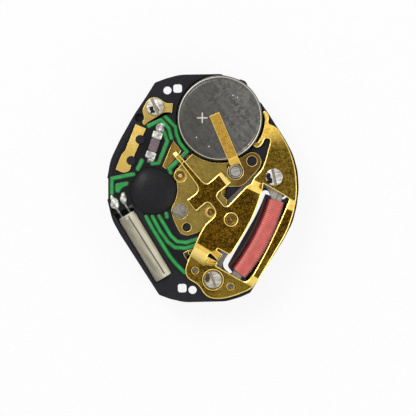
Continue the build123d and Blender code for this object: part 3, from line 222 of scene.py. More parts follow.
def add_piece(name, mesh, materials, replaced=(), sharp=SHARP):
    """Puts a mesh into the scene as a piece that rides on the movement."""
    piece = bpy.data.objects.new(name, mesh)
    bpy.context.scene.collection.objects.link(piece)
    for material in materials:
        mesh.materials.append(material)
    mesh.shade_smooth()
    mesh.set_sharp_from_angle(angle=sharp)
    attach(piece, MOVEMENT)
    if replaced:
        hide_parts(*replaced)
    return piece


def surface(name, points, materials, replaced=(), sharp=SHARP):
    """Piece whose mesh is a grid of points: rows by columns by three."""
    mesh = bpy.data.meshes.new(name)
    mesh.from_pydata(points.reshape(-1, 3), [], grid_faces(*points.shape[:2]))
    tidy_mesh(mesh, GRID_MERGE)
    return add_piece(name, mesh, materials, replaced, sharp)


def turned(profile, centre, spokes):
    """Grid of a turned shape: a profile of radius and height, in mm, round an upright axis."""
    radius, height = np.array(profile, float).T * MM
    angle = np.linspace(0, 2 * pi, spokes, endpoint=False)
    x = centre[0] + radius[:, None] * np.cos(angle)
    y = centre[1] + radius[:, None] * np.sin(angle)
    z = np.repeat(height[:, None], spokes, 1)
    return np.stack([x, y, z], -1)


def turned_piece(name, pixel, corners, bend, materials, replaced=(), spokes=96, steps=5):
    """Piece turned round a pixel's place. Its profile's corners are rounded from a length in mm before each."""
    profile = rounded_profile(corners, bend, steps)
    return surface(name, turned(profile, place(pixel), spokes), materials, replaced)


def rounded_profile(corners, round_mm, steps=5):
    """Profile through corners of radius and height, each cut by a parabola that starts a length before it."""
    corners = np.array(corners, float)
    share = np.linspace(0, 1, steps)[:, None]
    stretches = [corners[:1]]
    for before, here, after in zip(corners[:-2], corners[1:-1], corners[2:]):
        start = here + (before - here) * min(0.5, round_mm / np.linalg.norm(before - here))
        end = here + (after - here) * min(0.5, round_mm / np.linalg.norm(after - here))
        stretches.append(start * (1 - share) ** 2 + 2 * here * share * (1 - share) + end * share ** 2)
    return np.vstack(stretches + [corners[-1:]])


def wander(seed, count=6):
    """Smooth periodic function of an angle and a second parameter: a sum of sines with seeded phases."""
    random = np.random.default_rng(seed)
    waves = random.integers(1, 9, (count, 2))
    phases = random.uniform(0, 2 * pi, count)
    sizes = 1 / waves.sum(1)

    def value(first, second=0.0):
        total = 0.0
        for (a, b), phase, size in zip(waves, phases, sizes):
            total = total + size * np.sin(a * first + b * second + phase)
        return total / sizes.sum()
    return value


def laid(centre, turn, across, beside):
    """Places at two distances from a centre, along and beside a direction."""
    return (centre[0] + across * cos(turn) - beside * sin(turn),
            centre[1] + across * sin(turn) + beside * cos(turn))


def with_floor(rings, centre):
    """Grid of a lump's rings from the outline to the middle, after a first row that closes it underneath."""
    rings = rings[::-1]
    floor = rings[:1].copy()
    floor[..., :2] = centre
    return np.concatenate([floor, rings])


def lump(name, pixel, half_size, turn, base, height, material, replaced, seed, rough):
    """Lump on a flat base. Its outline is an ellipse with a wandering radius, and its height is the base's
    plus (1 - share squared) to a power, where share runs from the middle to the outline."""
    share = np.linspace(0, 1, LUMP_GRID[0])[:, None]
    angle = np.linspace(0, 2 * pi, LUMP_GRID[1], endpoint=False)[None, :]
    waves, centre = wander(seed), place(pixel)
    reach = share * (1 + rough * waves(angle))
    x, y = laid(centre, turn, half_size[0] * MM * reach * np.cos(angle), half_size[1] * MM * reach * np.sin(angle))
    crown = (1 - share ** 2) ** LUMP_EDGE_POWER * (1 + rough * waves(angle, 7 * share) * share)
    points = with_floor(np.stack([x, y, base + height * MM * crown], -1), centre)
    return surface(name, points, [material], replaced, SOFT_SHARP)


def solder_lumps(rows, base, seed, rough, replaced=()):
    """Lumps of solder on one base. A row is a name, a pixel, half sizes and a height in mm, and a turn."""
    for index, (name, pixel, half_size, height, turn) in enumerate(rows):
        lump(name, pixel, half_size, turn, base, height, solder_metal(), () if index else replaced,
             seed + index, rough)


def flat_copy(node, merge):
    """Copy of a node's mesh without its materials, its flat faces joined."""
    mesh = frame["nodes"][node].data.copy()
    mesh.materials.clear()
    tidy_mesh(mesh, merge, ONE_PLANE)
    return mesh


def facing(normal, last):
    """Material number of a flat, a slope or an upright side."""
    rise = abs(normal.z)
    return min(last, FLAT if rise > FLAT_RISE else SLOPE if rise > SLOPE_RISE else SIDE)


def rounded(name, node, materials, width, clamped=True):
    """Copy of a node with its sharp edges rounded, in mm. Its materials are those of flats, slopes, sides
    and edges."""
    mesh = flat_copy(node, COPY_MERGE)
    last = len(materials) - 1
    for face in mesh.polygons:
        face.material_index = facing(face.normal, last)
    piece = add_piece(name, mesh, materials, (node,))
    bevel = piece.modifiers.new("edges", "BEVEL")
    bevel.width = width * MM
    bevel.segments = BEVEL_STEPS
    bevel.limit_method = "ANGLE"
    bevel.angle_limit = BEVEL_ANGLE
    bevel.use_clamp_overlap = clamped
    bevel.harden_normals = True
    bevel.material = min(last, STRIP)
    return piece


def stamped(name, node, materials, line, drop):
    """Copy of a sheet whose upward faces get a border strip, its width and drop in mm, that slopes down to the
    outer edge. Its materials are those of flats, slopes, cut sides and the strip."""
    mesh = flat_copy(node, STAMPED_MERGE)
    work = bmesh.new()
    work.from_mesh(mesh)
    last = len(materials) - 1
    for face in work.faces:
        face.material_index = facing(face.normal, last)
    tops = [face for face in work.faces if faces_up(face)]
    strip = bmesh.ops.inset_region(work, faces=tops, thickness=line * MM, use_boundary=True,
                                   use_even_offset=True)["faces"]
    inner = {corner for face in tops for corner in face.verts}
    outer = {corner for face in strip for corner in face.verts} - inner
    for face in strip:
        face.material_index = min(last, STRIP)
    for corner in inner:
        shorten(corner, outer, LONGEST_INSET * line * MM)
    for corner in outer:
        corner.co.z -= drop * MM
    work.to_mesh(mesh)
    work.free()
    return add_piece(name, mesh, materials, (node,), STAMPED_SHARP)


def faces_up(face):
    """True for a face that looks up, flat or sloping."""
    return face.normal.z > SLOPE_RISE


def on_strip(face):
    """True for a face of the border strip."""
    return face.material_index == STRIP


def repaint(piece, pixel, inner, outer, number, chosen):
    """Gives the chosen faces between two distances, in mm, from a pixel's place another material number."""
    centre = place(pixel)
    for face in piece.data.polygons:
        if chosen(face) and inner <= np.hypot(*(centre - face.center[:2])) / MM < outer:
            face.material_index = number


def shorten(corner, outer, limit):
    """Pulls an inner corner of a border strip back towards its outer one where it lies past a limit."""
    for edge in corner.link_edges:
        mate = edge.other_vert(corner)
        reach = corner.co - mate.co
        if mate in outer and reach.length > limit:
            corner.co = mate.co + reach * (limit / reach.length)


def swell(mesh, reach):
    """Moves the upright sides of a mesh outwards."""
    work = bmesh.new()
    work.from_mesh(mesh)
    moves = {}
    for corner in work.verts:
        sides = [face.normal for face in corner.link_faces if abs(face.normal.z) < UPRIGHT_RISE]
        if sides:
            away = sum(sides, sides[0] * 0)
            away.z = 0
            moves[corner] = away.normalized() * reach
    for corner, move in moves.items():
        corner.co += move
    work.to_mesh(mesh)
    work.free()


def dress(node, material):
    """Gives a node of the solids one material."""
    held = frame["nodes"][node].data.materials
    held.clear()
    held.append(material)


# Shader building

def link_or_set(tree, socket, value):
    """Links a socket to another one, or sets its plain value."""
    if isinstance(value, bpy.types.NodeSocket):
        tree.links.new(value, socket)
    else:
        socket.default_value = value


def add(tree, kind, inputs=None, **settings):
    """New node with its settings, and its inputs set or linked by socket name or number."""
    made = tree.nodes.new(kind)
    for key, value in settings.items():
        setattr(made, key, value)
    for key, value in (inputs or {}).items():
        link_or_set(tree, made.inputs[key], value)
    return made


def mix(tree, mask, first, second):
    """The first colour where a mask is 0, and the second where it is 1."""
    made = add(tree, "ShaderNodeMix", data_type="RGBA")
    for index, value in ((0, mask), (6, first), (7, second)):
        link_or_set(tree, made.inputs[index], value)
    return made.outputs[2]


def layers(tree, shade, *coats):
    """A colour under coats, each a mask and a colour, the last one on top."""
    for mask, tone in coats:
        shade = mix(tree, mask, shade, tone)
    return shade


def math(tree, what, first, second=0.0):
    """Result of one operation on two values."""
    return add(tree, "ShaderNodeMath", {0: first, 1: second}, operation=what).outputs[0]


def times(tree, first, second):
    """Product of two masks, or of a mask and a share."""
    return math(tree, "MULTIPLY", first, second)


def vector_math(tree, what, first, second, output=0):
    """Result of one operation on two vectors."""
    return add(tree, "ShaderNodeVectorMath", {0: first, 1: second}, operation=what).outputs[output]


def remap(tree, value, low, high, to_low=0.0, to_high=1.0):
    """A value's smooth step between two limits, from one result to another."""
    made = add(tree, "ShaderNodeMapRange", {"Value": value, "From Min": low, "From Max": high, "To Min": to_low,
                                            "To Max": to_high}, interpolation_type="SMOOTHSTEP")
    return made.outputs["Result"]


def soft_noise(tree, where, scale, detail, roughness=0.5):
    """Noise about the middle of 0 to 1, at a scale per metre."""
    return add(tree, "ShaderNodeTexNoise", {
        "Vector": where, "Scale": scale, "Detail": detail, "Roughness": roughness}).outputs["Fac"]


def new_group(name, inputs, outputs):
    """Empty node group with named inputs and outputs. A socket is a name, a kind and a default."""
    group = bpy.data.node_groups.new(name, "ShaderNodeTree")
    for label, kind, default in inputs:
        socket = group.interface.new_socket(label, in_out="INPUT", socket_type=kind)
        if default is not None:
            socket.default_value = default
    for label, kind in outputs:
        group.interface.new_socket(label, in_out="OUTPUT", socket_type=kind)
    return group, group.nodes.new("NodeGroupInput").outputs, group.nodes.new("NodeGroupOutput").inputs


VECTOR, FLOAT, RGBA = "NodeSocketVector", "NodeSocketFloat", "NodeSocketColor"
GRAIN_FINE_SHARE = 0.7
GRAIN_BAND = (0.11, 0.13)
CLOUD_BAND = (0.3, 0.7)
BRUSH_BAND = (0.35, 0.65)


def ramp_group():
    """Value from 0 at one point of the plan to 1 at another."""
    tree, given, wanted = new_group("plan_ramp", [
        ("Vector", VECTOR, None), ("Start", VECTOR, (0, 0, 0)), ("End", VECTOR, (0, 0, 0))], [("Value", FLOAT)])
    run = vector_math(tree, "SUBTRACT", given["End"], given["Start"])
    here = vector_math(tree, "SUBTRACT", given["Vector"], given["Start"])
    reach = vector_math(tree, "DOT_PRODUCT", here, run, "Value")
    whole = vector_math(tree, "DOT_PRODUCT", run, run, "Value")
    link_or_set(tree, wanted["Value"], remap(tree, math(tree, "DIVIDE", reach, whole), 0.0, 1.0))
    return tree


def spot_group():
    """Mask of 1 inside an upright cylinder, with a soft edge inside its radius."""
    tree, given, wanted = new_group("plan_spot", [
        ("Vector", VECTOR, None), ("Centre", VECTOR, (0, 0, 0)), ("Radius", FLOAT, 0.001),
        ("Soft", FLOAT, 0.0002)], [("Value", FLOAT)])
    away = vector_math(tree, "SUBTRACT", given["Vector"], given["Centre"])
    flat = vector_math(tree, "MULTIPLY", away, (1, 1, 0))
    reach = add(tree, "ShaderNodeVectorMath", {0: flat}, operation="LENGTH").outputs["Value"]
    start = math(tree, "SUBTRACT", given["Radius"], given["Soft"])
    link_or_set(tree, wanted["Value"], remap(tree, reach, start, given["Radius"], 1.0, 0.0))
    return tree


def grain_group():
    """Pebbled metal: the sum of a fine and a coarse noise, in a narrow band round a bias, chooses between a
    dark and a light tone."""
    tree, given, wanted = new_group("metal_grain", [
        ("Vector", VECTOR, None), ("Size", FLOAT, 0.0001), ("Dark", RGBA, (0, 0, 0, 1)),
        ("Light", RGBA, (1, 1, 1, 1)), ("Bias", FLOAT, 0.5)], [("Color", RGBA), ("Height", FLOAT)])
    scale = math(tree, "DIVIDE", 1.0, given["Size"])
    fine = soft_noise(tree, given["Vector"], scale, 3.0, 0.6)
    coarse = soft_noise(tree, given["Vector"], times(tree, scale, 0.3), 2.0)
    both = math(tree, "ADD", times(tree, fine, GRAIN_FINE_SHARE), times(tree, coarse, 1 - GRAIN_FINE_SHARE))
    low = math(tree, "SUBTRACT", given["Bias"], GRAIN_BAND[0])
    high = math(tree, "ADD", given["Bias"], GRAIN_BAND[1])
    height = remap(tree, both, low, high)
    link_or_set(tree, wanted["Color"], mix(tree, height, given["Dark"], given["Light"]))
    link_or_set(tree, wanted["Height"], height)
    return tree


def cloud_group():
    """Slow stains: one soft noise, spread between 0 and 1."""
    tree, given, wanted = new_group("cloud", [
        ("Vector", VECTOR, None), ("Size", FLOAT, 0.001), ("Seed", FLOAT, 0.0)], [("Value", FLOAT)])
    scale = math(tree, "DIVIDE", 1.0, given["Size"])
    moved = vector_math(tree, "ADD", given["Vector"], given["Seed"])
    link_or_set(tree, wanted["Value"], remap(tree, soft_noise(tree, moved, scale, 3.0), *CLOUD_BAND))
    return tree


def brush_group():
    """Fine lines along one direction: a noise stretched by a scale for each axis."""
    tree, given, wanted = new_group("brushed", [
        ("Vector", VECTOR, None), ("Turn", FLOAT, 0.0), ("Fine", FLOAT, 9000.0), ("Coarse", FLOAT, 500.0)],
        [("Value", FLOAT)])
    turned_by = add(tree, "ShaderNodeVectorRotate", {"Vector": given["Vector"], "Angle": given["Turn"]},
                    rotation_type="Z_AXIS").outputs[0]
    scales = add(tree, "ShaderNodeCombineXYZ", {"X": given["Fine"], "Y": given["Coarse"], "Z": given["Coarse"]})
    stretched = vector_math(tree, "MULTIPLY", turned_by, scales.outputs[0])
    link_or_set(tree, wanted["Value"], remap(tree, soft_noise(tree, stretched, 1.0, 2.0), *BRUSH_BAND))
    return tree


GROUP_MAKERS = {"plan_ramp": ramp_group, "plan_spot": spot_group, "metal_grain": grain_group,
                "cloud": cloud_group, "brushed": brush_group}


def use(tree, name, inputs):
    """Outputs of a shared group, which is made when it is first used."""
    made = add(tree, "ShaderNodeGroup")
    made.node_tree = bpy.data.node_groups.get(name) or GROUP_MAKERS[name]()
    for key, value in inputs.items():
        link_or_set(tree, made.inputs[key], value)
    return made.outputs


def ramp(tree, where, start, end):
    """Value from 0 at one pixel's place to 1 at another's."""
    return use(tree, "plan_ramp", {"Vector": where, "Start": point(start), "End": point(end)})["Value"]


def spot(tree, where, pixel, radius, soft):
    """Mask round a pixel's place, with its radius and soft edge in mm."""
    return use(tree, "plan_spot", {
        "Vector": where, "Centre": point(pixel), "Radius": radius * MM, "Soft": soft * MM})["Value"]


def pebbles(tree, where, size, bias, dark, light):
    """Colour and height of a grain of two tones, its size in mm."""
    return use(tree, "metal_grain", {"Vector": where, "Size": size * MM, "Bias": bias, "Dark": dark, "Light": light})


def clouds(tree, where, size, seed=0.0):
    """Slow stains, their size in mm."""
    return use(tree, "cloud", {"Vector": where, "Size": size * MM, "Seed": seed})["Value"]


def streaks(tree, where, turn, fine=9000.0, coarse=500.0):
    """Brushed lines, with their scales across and along them."""
    return use(tree, "brushed", {"Vector": where, "Turn": turn, "Fine": fine, "Coarse": coarse})["Value"]


def bar(tree, where, start, end, half, soft):
    """Mask of a straight bar between two pixels' places, with its half width and soft edge in mm."""
    first, along, length = line_between(start, end)
    away = vector_math(tree, "SUBTRACT", where, (*first, 0))
    reach, beside = [vector_math(tree, "DOT_PRODUCT", away, (*axis, 0), "Value")
                     for axis in (along, (-along[1], along[0]))]
    ends = math(tree, "ABSOLUTE", math(tree, "SUBTRACT", reach, length / 2))
    inside = remap(tree, math(tree, "ABSOLUTE", beside), (half - soft) * MM, half * MM, 1.0, 0.0)
    return times(tree, inside, remap(tree, ends, length / 2 - soft * MM, length / 2, 1.0, 0.0))


def new_material(name, plain):
    """Material with a Principled shader whose plain sockets are set by name, its Object coordinates, and
    nothing but the material where it was made before."""
    found = bpy.data.materials.get(name)
    if found:
        return found, None, None, None
    material = bpy.data.materials.new(name)
    material.use_nodes = True
    tree = material.node_tree
    shader = tree.nodes["Principled BSDF"]
    for socket, value in plain.items():
        shader.inputs[socket].default_value = value
    where = add(tree, "ShaderNodeTexCoord").outputs["Object"]
    return material, tree, shader, where


def bump(tree, shader, height, depth, strength=0.6):
    """Relief of a height, its depth in mm."""
    made = add(tree, "ShaderNodeBump", {"Height": height, "Strength": strength, "Distance": depth * MM})
    tree.links.new(made.outputs["Normal"], shader.inputs["Normal"])


def coat(tree, shader, shade, rough=None, relief=None):
    """Gives a shader its colour, its roughness by a mask and two limits, and its relief by a height, a depth
    and a strength."""
    tree.links.new(shade, shader.inputs["Base Color"])
    if rough:
        mask, low, high = rough
        link_or_set(tree, shader.inputs["Roughness"], remap(tree, mask, 0.0, 1.0, low, high))
    if relief:
        bump(tree, shader, *relief)


def coating(**plain):
    """Turns a function of a material's nodes and coordinates, which gives what coat needs, into one that makes
    the material once, under its own name or another, with these plain sockets."""
    def wrap(paint):
        def made(name=paint.__name__, *more):
            material, tree, shader, where = new_material(name, plain)
            if tree:
                coat(tree, shader, *paint(tree, where, *more))
            return material
        return made
    return wrap


def scaled(tone, factor):
    """A colour made darker or lighter by a factor."""
    return (*[min(1.0, channel * factor) for channel in tone[:3]], 1.0)


def spread(tone, contrast):
    """A colour's darker and lighter tones."""
    return scaled(tone, 1 - contrast), scaled(tone, 1 + contrast)


# Finishes that more than one piece uses

def grained(name, tone, contrast=0.5, size=0.12, bias=0.5, metallic=0.8, rough=0.42, depth=0.004):
    """Metal of one tone with a fine pebbled grain."""
    material, tree, shader, where = new_material(name, {"Metallic": metallic})
    if tree is None:
        return material
    grain = pebbles(tree, where, size, bias, *spread(tone, contrast))
    stain = clouds(tree, where, 0.9)
    coat(tree, shader, grain["Color"], (stain, rough - 0.06, rough + 0.08), (grain["Height"], depth))
    return material


def brushed(name, tone, turn=0.0, contrast=0.25, metallic=0.9, rough=0.35):
    """Metal with fine lines along one direction."""
    material, tree, shader, where = new_material(name, {"Metallic": metallic})
    if tree is None:
        return material
    lines = streaks(tree, where, turn)
    stain = clouds(tree, where, 1.1)
    lined = mix(tree, lines, *spread(tone, contrast))
    shade = mix(tree, times(tree, stain, 0.3), lined, scaled(tone, 0.7))
    coat(tree, shader, shade, (lines, rough - 0.05, rough + 0.1), (lines, 0.003, 0.4))
    return material


def moulded(name, tone, rough=0.5, size=0.1, contrast=0.18, depth=0.004, stains=0.35):
    """Matte plastic or resin with a fine grain and slow stains."""
    material, tree, shader, where = new_material(name, {"Metallic": 0.0, "IOR": 1.48, "Specular IOR Level": 0.16})
    if tree is None:
        return material
    grain = pebbles(tree, where, size, 0.5, *spread(tone, contrast))
    stain = clouds(tree, where, 1.4)
    shade = mix(tree, times(tree, stain, stains), grain["Color"], scaled(tone, 0.6))
    coat(tree, shader, shade, (stain, rough - 0.08, rough + 0.1), (grain["Height"], depth, 0.4))
    return material


def edge_highlight():
    """Bright rounded edge of the gilt sheets, a painted highlight, a little uneven."""
    return grained("gilt_edge_highlight", bpy.context.scene.movement_sheet.line, 0.14, 0.25, metallic=0.75, rough=0.3)


def cut_side():
    """Cut sides of the gilt sheets."""
    return grained("gilt_cut_side", colour(150, 112, 34), 0.3, 0.1, metallic=0.85, rough=0.4)


@coating(Metallic=0.6)
def solder_metal(tree, where):
    """Bright uneven solder with grey hollows."""
    stain = clouds(tree, where, 0.3)
    shade = mix(tree, stain, colour(138, 140, 134), colour(236, 236, 226))
    return shade, (stain, 0.46, 0.3), (stain, 0.012, 0.5)


# The cover's finishes and painted light: the ends of its ramps, and its spots with their radius and soft edge in mm
COVER_GOLD_RAMP = [(273, 150), (269, 129)]
COVER_RIGHT_RAMP = [(246, 150), (262, 146)]
COVER_LOW_RAMP = [(245, 170), (252, 168)]
COVER_LEG_RAMP = [(288, 203), (287, 196)]
COVER_FOOT_RAMP = [(214, 262), (216, 272)]
COVER_FOOT_SPOT = ((232, 291), 1.7, 1.1)
COVER_LEFT_SPOT = ((195, 261), 0.75, 0.5)
TAB_SPOTS = [((215.6, 256), 0.5, 0.12), ((211, 262), 0.36, 0.12)]
ARM_SPOT = ((178.3, 158.4), 0.4, 0.14)
# Painted highlight along a fold of the arm
ARM_HIGHLIGHT_LINE = ((181.2, 164.2), (184.6, 160.8), 0.055, 0.04)
# Painted highlight where a fold lies on the flat
FOLD_HIGHLIGHT_SPOT = ((202.5, 250), 0.86, 0.1)
FOLD_HIGHLIGHT_RAMP = [(204.3, 246.6), (203.7, 247.6)]
# Painted shade that fades a fold to dark towards the foot
FOLD_SHADE_RAMP = [(199, 251), (191, 265)]
FOLD_LEG_RAMP = [(251, 283), (243, 291)]
FOLD_LEG_SPOT = ((250, 284), 1.6, 0.2)
FOLD_PATCH_SPOT = ((262, 186.5), 0.3, 0.12)
# Painted highlights on the folds near the arms
ARM_FOLD_HIGHLIGHTS = [((226.5, 177), 1.15, 0.5), ((201, 250), 1.15, 0.5)]
GOLD_TONES = colour(203, 159, 53), colour(250, 213, 103)
OLIVE_TONES = colour(64, 48, 5), colour(136, 110, 34)


@coating(Metallic=0.92)
def cover_flat(tree, where):
    """Cover's pebbled flats: dark over the train, bright at the upper right, olive at the right and the foot,
    with lighter places at its foot, its tabs and its arm's end, a painted highlight where its fold lies and a
    painted highlight line on its arm."""
    sheet = bpy.context.scene.movement_sheet
    grain = pebbles(tree, where, 0.11, 0.53, scaled(sheet.flat, 0.42), scaled(sheet.flat, 2.7))
    gold = pebbles(tree, where, 0.11, 0.47, *GOLD_TONES)["Color"]
    olive = pebbles(tree, where, 0.09, 0.5, *OLIVE_TONES)["Color"]
    right = times(tree, ramp(tree, where, *COVER_LOW_RAMP), ramp(tree, where, *COVER_LEG_RAMP))
    upper = times(tree, ramp(tree, where, *COVER_GOLD_RAMP), ramp(tree, where, *COVER_RIGHT_RAMP))
    # Painted highlight of a fold, laid on the flat
    band = times(tree, spot(tree, where, *FOLD_HIGHLIGHT_SPOT), ramp(tree, where, *FOLD_HIGHLIGHT_RAMP))
    tabs = [(spot(tree, where, *tab), colour(206, 164, 66)) for tab in TAB_SPOTS]
    shade = layers(
        tree, grain["Color"], (right, olive), (upper, gold), (ramp(tree, where, *COVER_FOOT_RAMP), olive),
        (times(tree, spot(tree, where, *COVER_FOOT_SPOT), 0.4), colour(150, 124, 46)),
        (spot(tree, where, *COVER_LEFT_SPOT), colour(122, 96, 30)), *tabs, (band, colour(232, 192, 92)),
        (spot(tree, where, *ARM_SPOT), colour(164, 134, 50)), (bar(tree, where, *ARM_HIGHLIGHT_LINE), colour(236, 196, 96)))
    return shade, (clouds(tree, where, 1.2), 0.36, 0.5), (grain["Height"], 0.005)


@coating(Metallic=0.75, Roughness=0.34)
def cover_fold(tree, where):
    """Cover's slopes, painted bright as the lit tone of the gilt, with painted highlights brightest at the arms,
    painted shade fading to dark at the foot, and one dark brown patch.
    """
    sheet = bpy.context.scene.movement_sheet
    grain = pebbles(tree, where, 0.3, 0.45, scaled(sheet.fold, 0.82), scaled(sheet.fold, 1.15))
    leg = times(tree, ramp(tree, where, *FOLD_LEG_RAMP), spot(tree, where, *FOLD_LEG_SPOT))
    # Painted highlights at the arms
    arms = [(spot(tree, where, *arm), colour(255, 226, 130)) for arm in ARM_FOLD_HIGHLIGHTS]
    shade = layers(
        tree, grain["Color"], (leg, colour(150, 122, 44)), *arms,
        (ramp(tree, where, *FOLD_SHADE_RAMP), colour(88, 64, 14)),
        (spot(tree, where, *FOLD_PATCH_SPOT), colour(150, 92, 18)))
    return shade, None, (grain["Height"], 0.003, 0.3)


BRIDGE_BROWN_RAMP = [(233, 160), (247, 164)]
BROWN_TONES = colour(70, 44, 3), colour(112, 80, 18)
STRAP_SHADE_SPOT = ((229.2, 166.8), 0.26, 0.1)


@coating(Metallic=0.7)
def bridge_flat(tree, where):
    """Matte olive gold of the train bridge, browner on its right lobe, with a painted shadow beside the strap."""
    sheet = bpy.context.scene.movement_sheet
    grain = pebbles(tree, where, 0.075, 0.5, scaled(sheet.bridge, 0.72), scaled(sheet.bridge, 1.22))
    brown = pebbles(tree, where, 0.1, 0.52, *BROWN_TONES)["Color"]
    stain = clouds(tree, where, 1.6)
    shade = layers(
        tree, grain["Color"], (ramp(tree, where, *BRIDGE_BROWN_RAMP), brown),
        (times(tree, stain, 0.3), scaled(sheet.bridge, 0.6)), (spot(tree, where, *STRAP_SHADE_SPOT), colour(40, 22, 8)))
    return shade, (stain, 0.42, 0.56), (grain["Height"], 0.004)


# The screws' painted dark reflections and painted bright glints: bars with their half width in mm
SCREW_DARK_REFLECTIONS = [((150.6, 105), (153, 115), 0.3), ((156.8, 106), (158.6, 113.5), 0.2),
                ((267.4, 171), (270.4, 186), 0.34), ((208.6, 272), (206.6, 283), 0.3)]
SCREW_GLEAMS = [((155.6, 100.5), (159.6, 109.5)), ((210.6, 273.6), (212.2, 279))]
GLEAM_HALF, GLEAM_SOFT = 0.07, 0.05
RAGGED_BAND = (0.78, 1.02)


@coating(Metallic=0.85)
def screw_steel(tree, where):
    """Pale turned steel with ragged painted dark reflections and painted bright glints, a little duller on the foot's
    screw.
    """
    lines = streaks(tree, where, radians(78), 7000.0, 900.0)
    pale = mix(tree, lines, colour(196, 190, 176), colour(246, 243, 236))
    shade = mix(tree, times(tree, clouds(tree, where, 0.5), 0.45), pale, colour(140, 134, 124))
    ragged = times(tree, clouds(tree, where, 0.16, 0.3), 0.7)
    for start, end, half in SCREW_DARK_REFLECTIONS:
        dark = bar(tree, where, start, end, half, half * 0.8)
        dark = remap(tree, math(tree, "ADD", dark, ragged), *RAGGED_BAND)
        shade = mix(tree, dark, shade, colour(34, 32, 30))
    dull = mix(tree, 0.3, shade, colour(120, 108, 78))
    shade = mix(tree, spot(tree, where, SCREW_PIXELS[2], 0.8, 0.05), shade, dull)
    gleams = [(bar(tree, where, start, end, GLEAM_HALF, GLEAM_SOFT), colour(250, 248, 240))
              for start, end in SCREW_GLEAMS]
    return layers(tree, shade, *gleams), (lines, 0.25, 0.42), (lines, 0.003, 0.35)


# Painted shade, darker towards the lower left
CELL_SHADE_RAMP = [(262, 104), (186, 134)]
CELL_SPECKS = [(237.5, 97.5), (196.5, 137.5), (209, 146.5), (233, 95.5)]
CELL_RIM_HIGHLIGHT = (3.31, 3.265)
PLUS_PIXEL = (202.3, 118)
PLUS_ARM = 5.5


@coating(Metallic=0.8)
def cell_steel(tree, where):
    """Cell's worn top: clouded grey with fine scratches, a few specks, painted shade towards the lower left, a cream
    painted highlight ring on its rim and its plus sign.
    """
    steel = bpy.context.scene.movement_cell.steel
    cloud = clouds(tree, where, 1.3)
    fine = pebbles(tree, where, 0.2, 0.5, scaled(steel, 0.45), scaled(steel, 1.9))
    outer, inner = [spot(tree, where, BATTERY_PIXEL, radius, 0.04) for radius in CELL_RIM_HIGHLIGHT]
    specks = [(spot(tree, where, pixel, 0.075, 0.05), colour(214, 208, 196)) for pixel in CELL_SPECKS]
    shade = layers(
        tree, fine["Color"], (times(tree, cloud, 0.8), scaled(steel, 0.4)),
        (times(tree, streaks(tree, where, radians(-32), 4200.0, 260.0), 0.42), scaled(steel, 1.7)),
        (times(tree, streaks(tree, where, radians(52), 6000.0, 300.0), 0.3), scaled(steel, 0.5)),
        (times(tree, ramp(tree, where, *CELL_SHADE_RAMP), 0.75), scaled(steel, 0.38)),
        (times(tree, clouds(tree, where, 2.6, 0.7), 0.4), scaled(steel, 0.62)), *specks,
        (math(tree, "SUBTRACT", outer, inner), colour(236, 230, 212)), (plus_mask(tree, where), colour(206, 200, 182)))
    return shade, (cloud, 0.3, 0.46), (fine["Height"], 0.003, 0.35)


def plus_mask(tree, where):
    """Mask of a plus sign: two bars."""
    x, y = PLUS_PIXEL
    bars = [bar(tree, where, (x - dx, y - dy), (x + dx, y + dy), 0.07, 0.04)
            for dx, dy in ((PLUS_ARM, 0), (0, PLUS_ARM))]
    return math(tree, "MAXIMUM", *bars)


@coating(Metallic=0.0, IOR=1.5)
def coil_enamel(tree, where):
    """Red enamel with painted shade in the grooves between turns, a painted highlight making it pale to the right,
    and down its left flank painted light that pales it and then painted shade that turns nearly black."""
    red = bpy.context.scene.movement_coil.red
    groove, side = [add(tree, "ShaderNodeAttribute", attribute_name=name).outputs["Fac"]
                    for name in ("groove", "side")]
    shade = layers(
        tree, mix(tree, clouds(tree, where, 0.5), scaled(red, 0.86), scaled(red, 1.12)),
        (remap(tree, side, 0.35, 0.95), colour(255, 158, 146)), (remap(tree, side, -0.3, -0.7), colour(222, 112, 103)),
        (remap(tree, side, -0.6, -0.7), colour(122, 32, 26)), (remap(tree, side, -0.8, -0.92), colour(64, 20, 16)),
        (times(tree, groove, 0.6), colour(140, 54, 52)))
    return shade, (groove, 0.36, 0.6)


# The crystal's painted reflection line, then its shaded and lit tones of painted light
CRYSTAL_REFLECTION_LINE = ((128.1, 216.2), (164.6, 273.9), 0.085, 0.05)
CRYSTAL_SHADED_TONES = colour(138, 133, 115), colour(160, 154, 135)
CRYSTAL_LIT_TONES = colour(208, 202, 178), colour(226, 220, 196)


@coating(Metallic=0.25)
def crystal_metal(tree, where):
    """Cream drawn metal with painted shade on its left and painted light on its right, a dark line of painted
    reflection along the top, and a warm line along its right edge."""
    start, along = line_between(*CRYSTAL_PIXELS)[:2]
    grain = streaks(tree, where, float(np.arctan2(*along)), 5200.0, 700.0)
    away = vector_math(tree, "SUBTRACT", where, (*start, 0))
    across = vector_math(tree, "DOT_PRODUCT", away, (-along[1], along[0], 0), "Value")
    shade = layers(
        tree, mix(tree, grain, *CRYSTAL_SHADED_TONES),
        (remap(tree, across, -0.3 * MM, 0.5 * MM), mix(tree, grain, *CRYSTAL_LIT_TONES)),
        (bar(tree, where, *CRYSTAL_REFLECTION_LINE), colour(92, 88, 76)),
        (times(tree, remap(tree, across, 0.64 * MM, 0.73 * MM), 0.8), colour(168, 140, 92)))
    return shade, (grain, 0.34, 0.48), (grain, 0.003, 0.3)


STRAP_TONES = colour(156, 118, 38), colour(202, 160, 66)


@coating(Metallic=0.75, Roughness=0.42)
def strap_gilt(tree, where):
    """Gilt of the strap, with a dark reflection round its rivet."""
    grain = pebbles(tree, where, 0.1, 0.48, *STRAP_TONES)
    shade = mix(tree, spot(tree, where, STRAP_RIVET_PIXEL, 0.8, 0.12), grain["Color"], colour(66, 40, 16))
    return shade, None, (grain["Height"], 0.004)


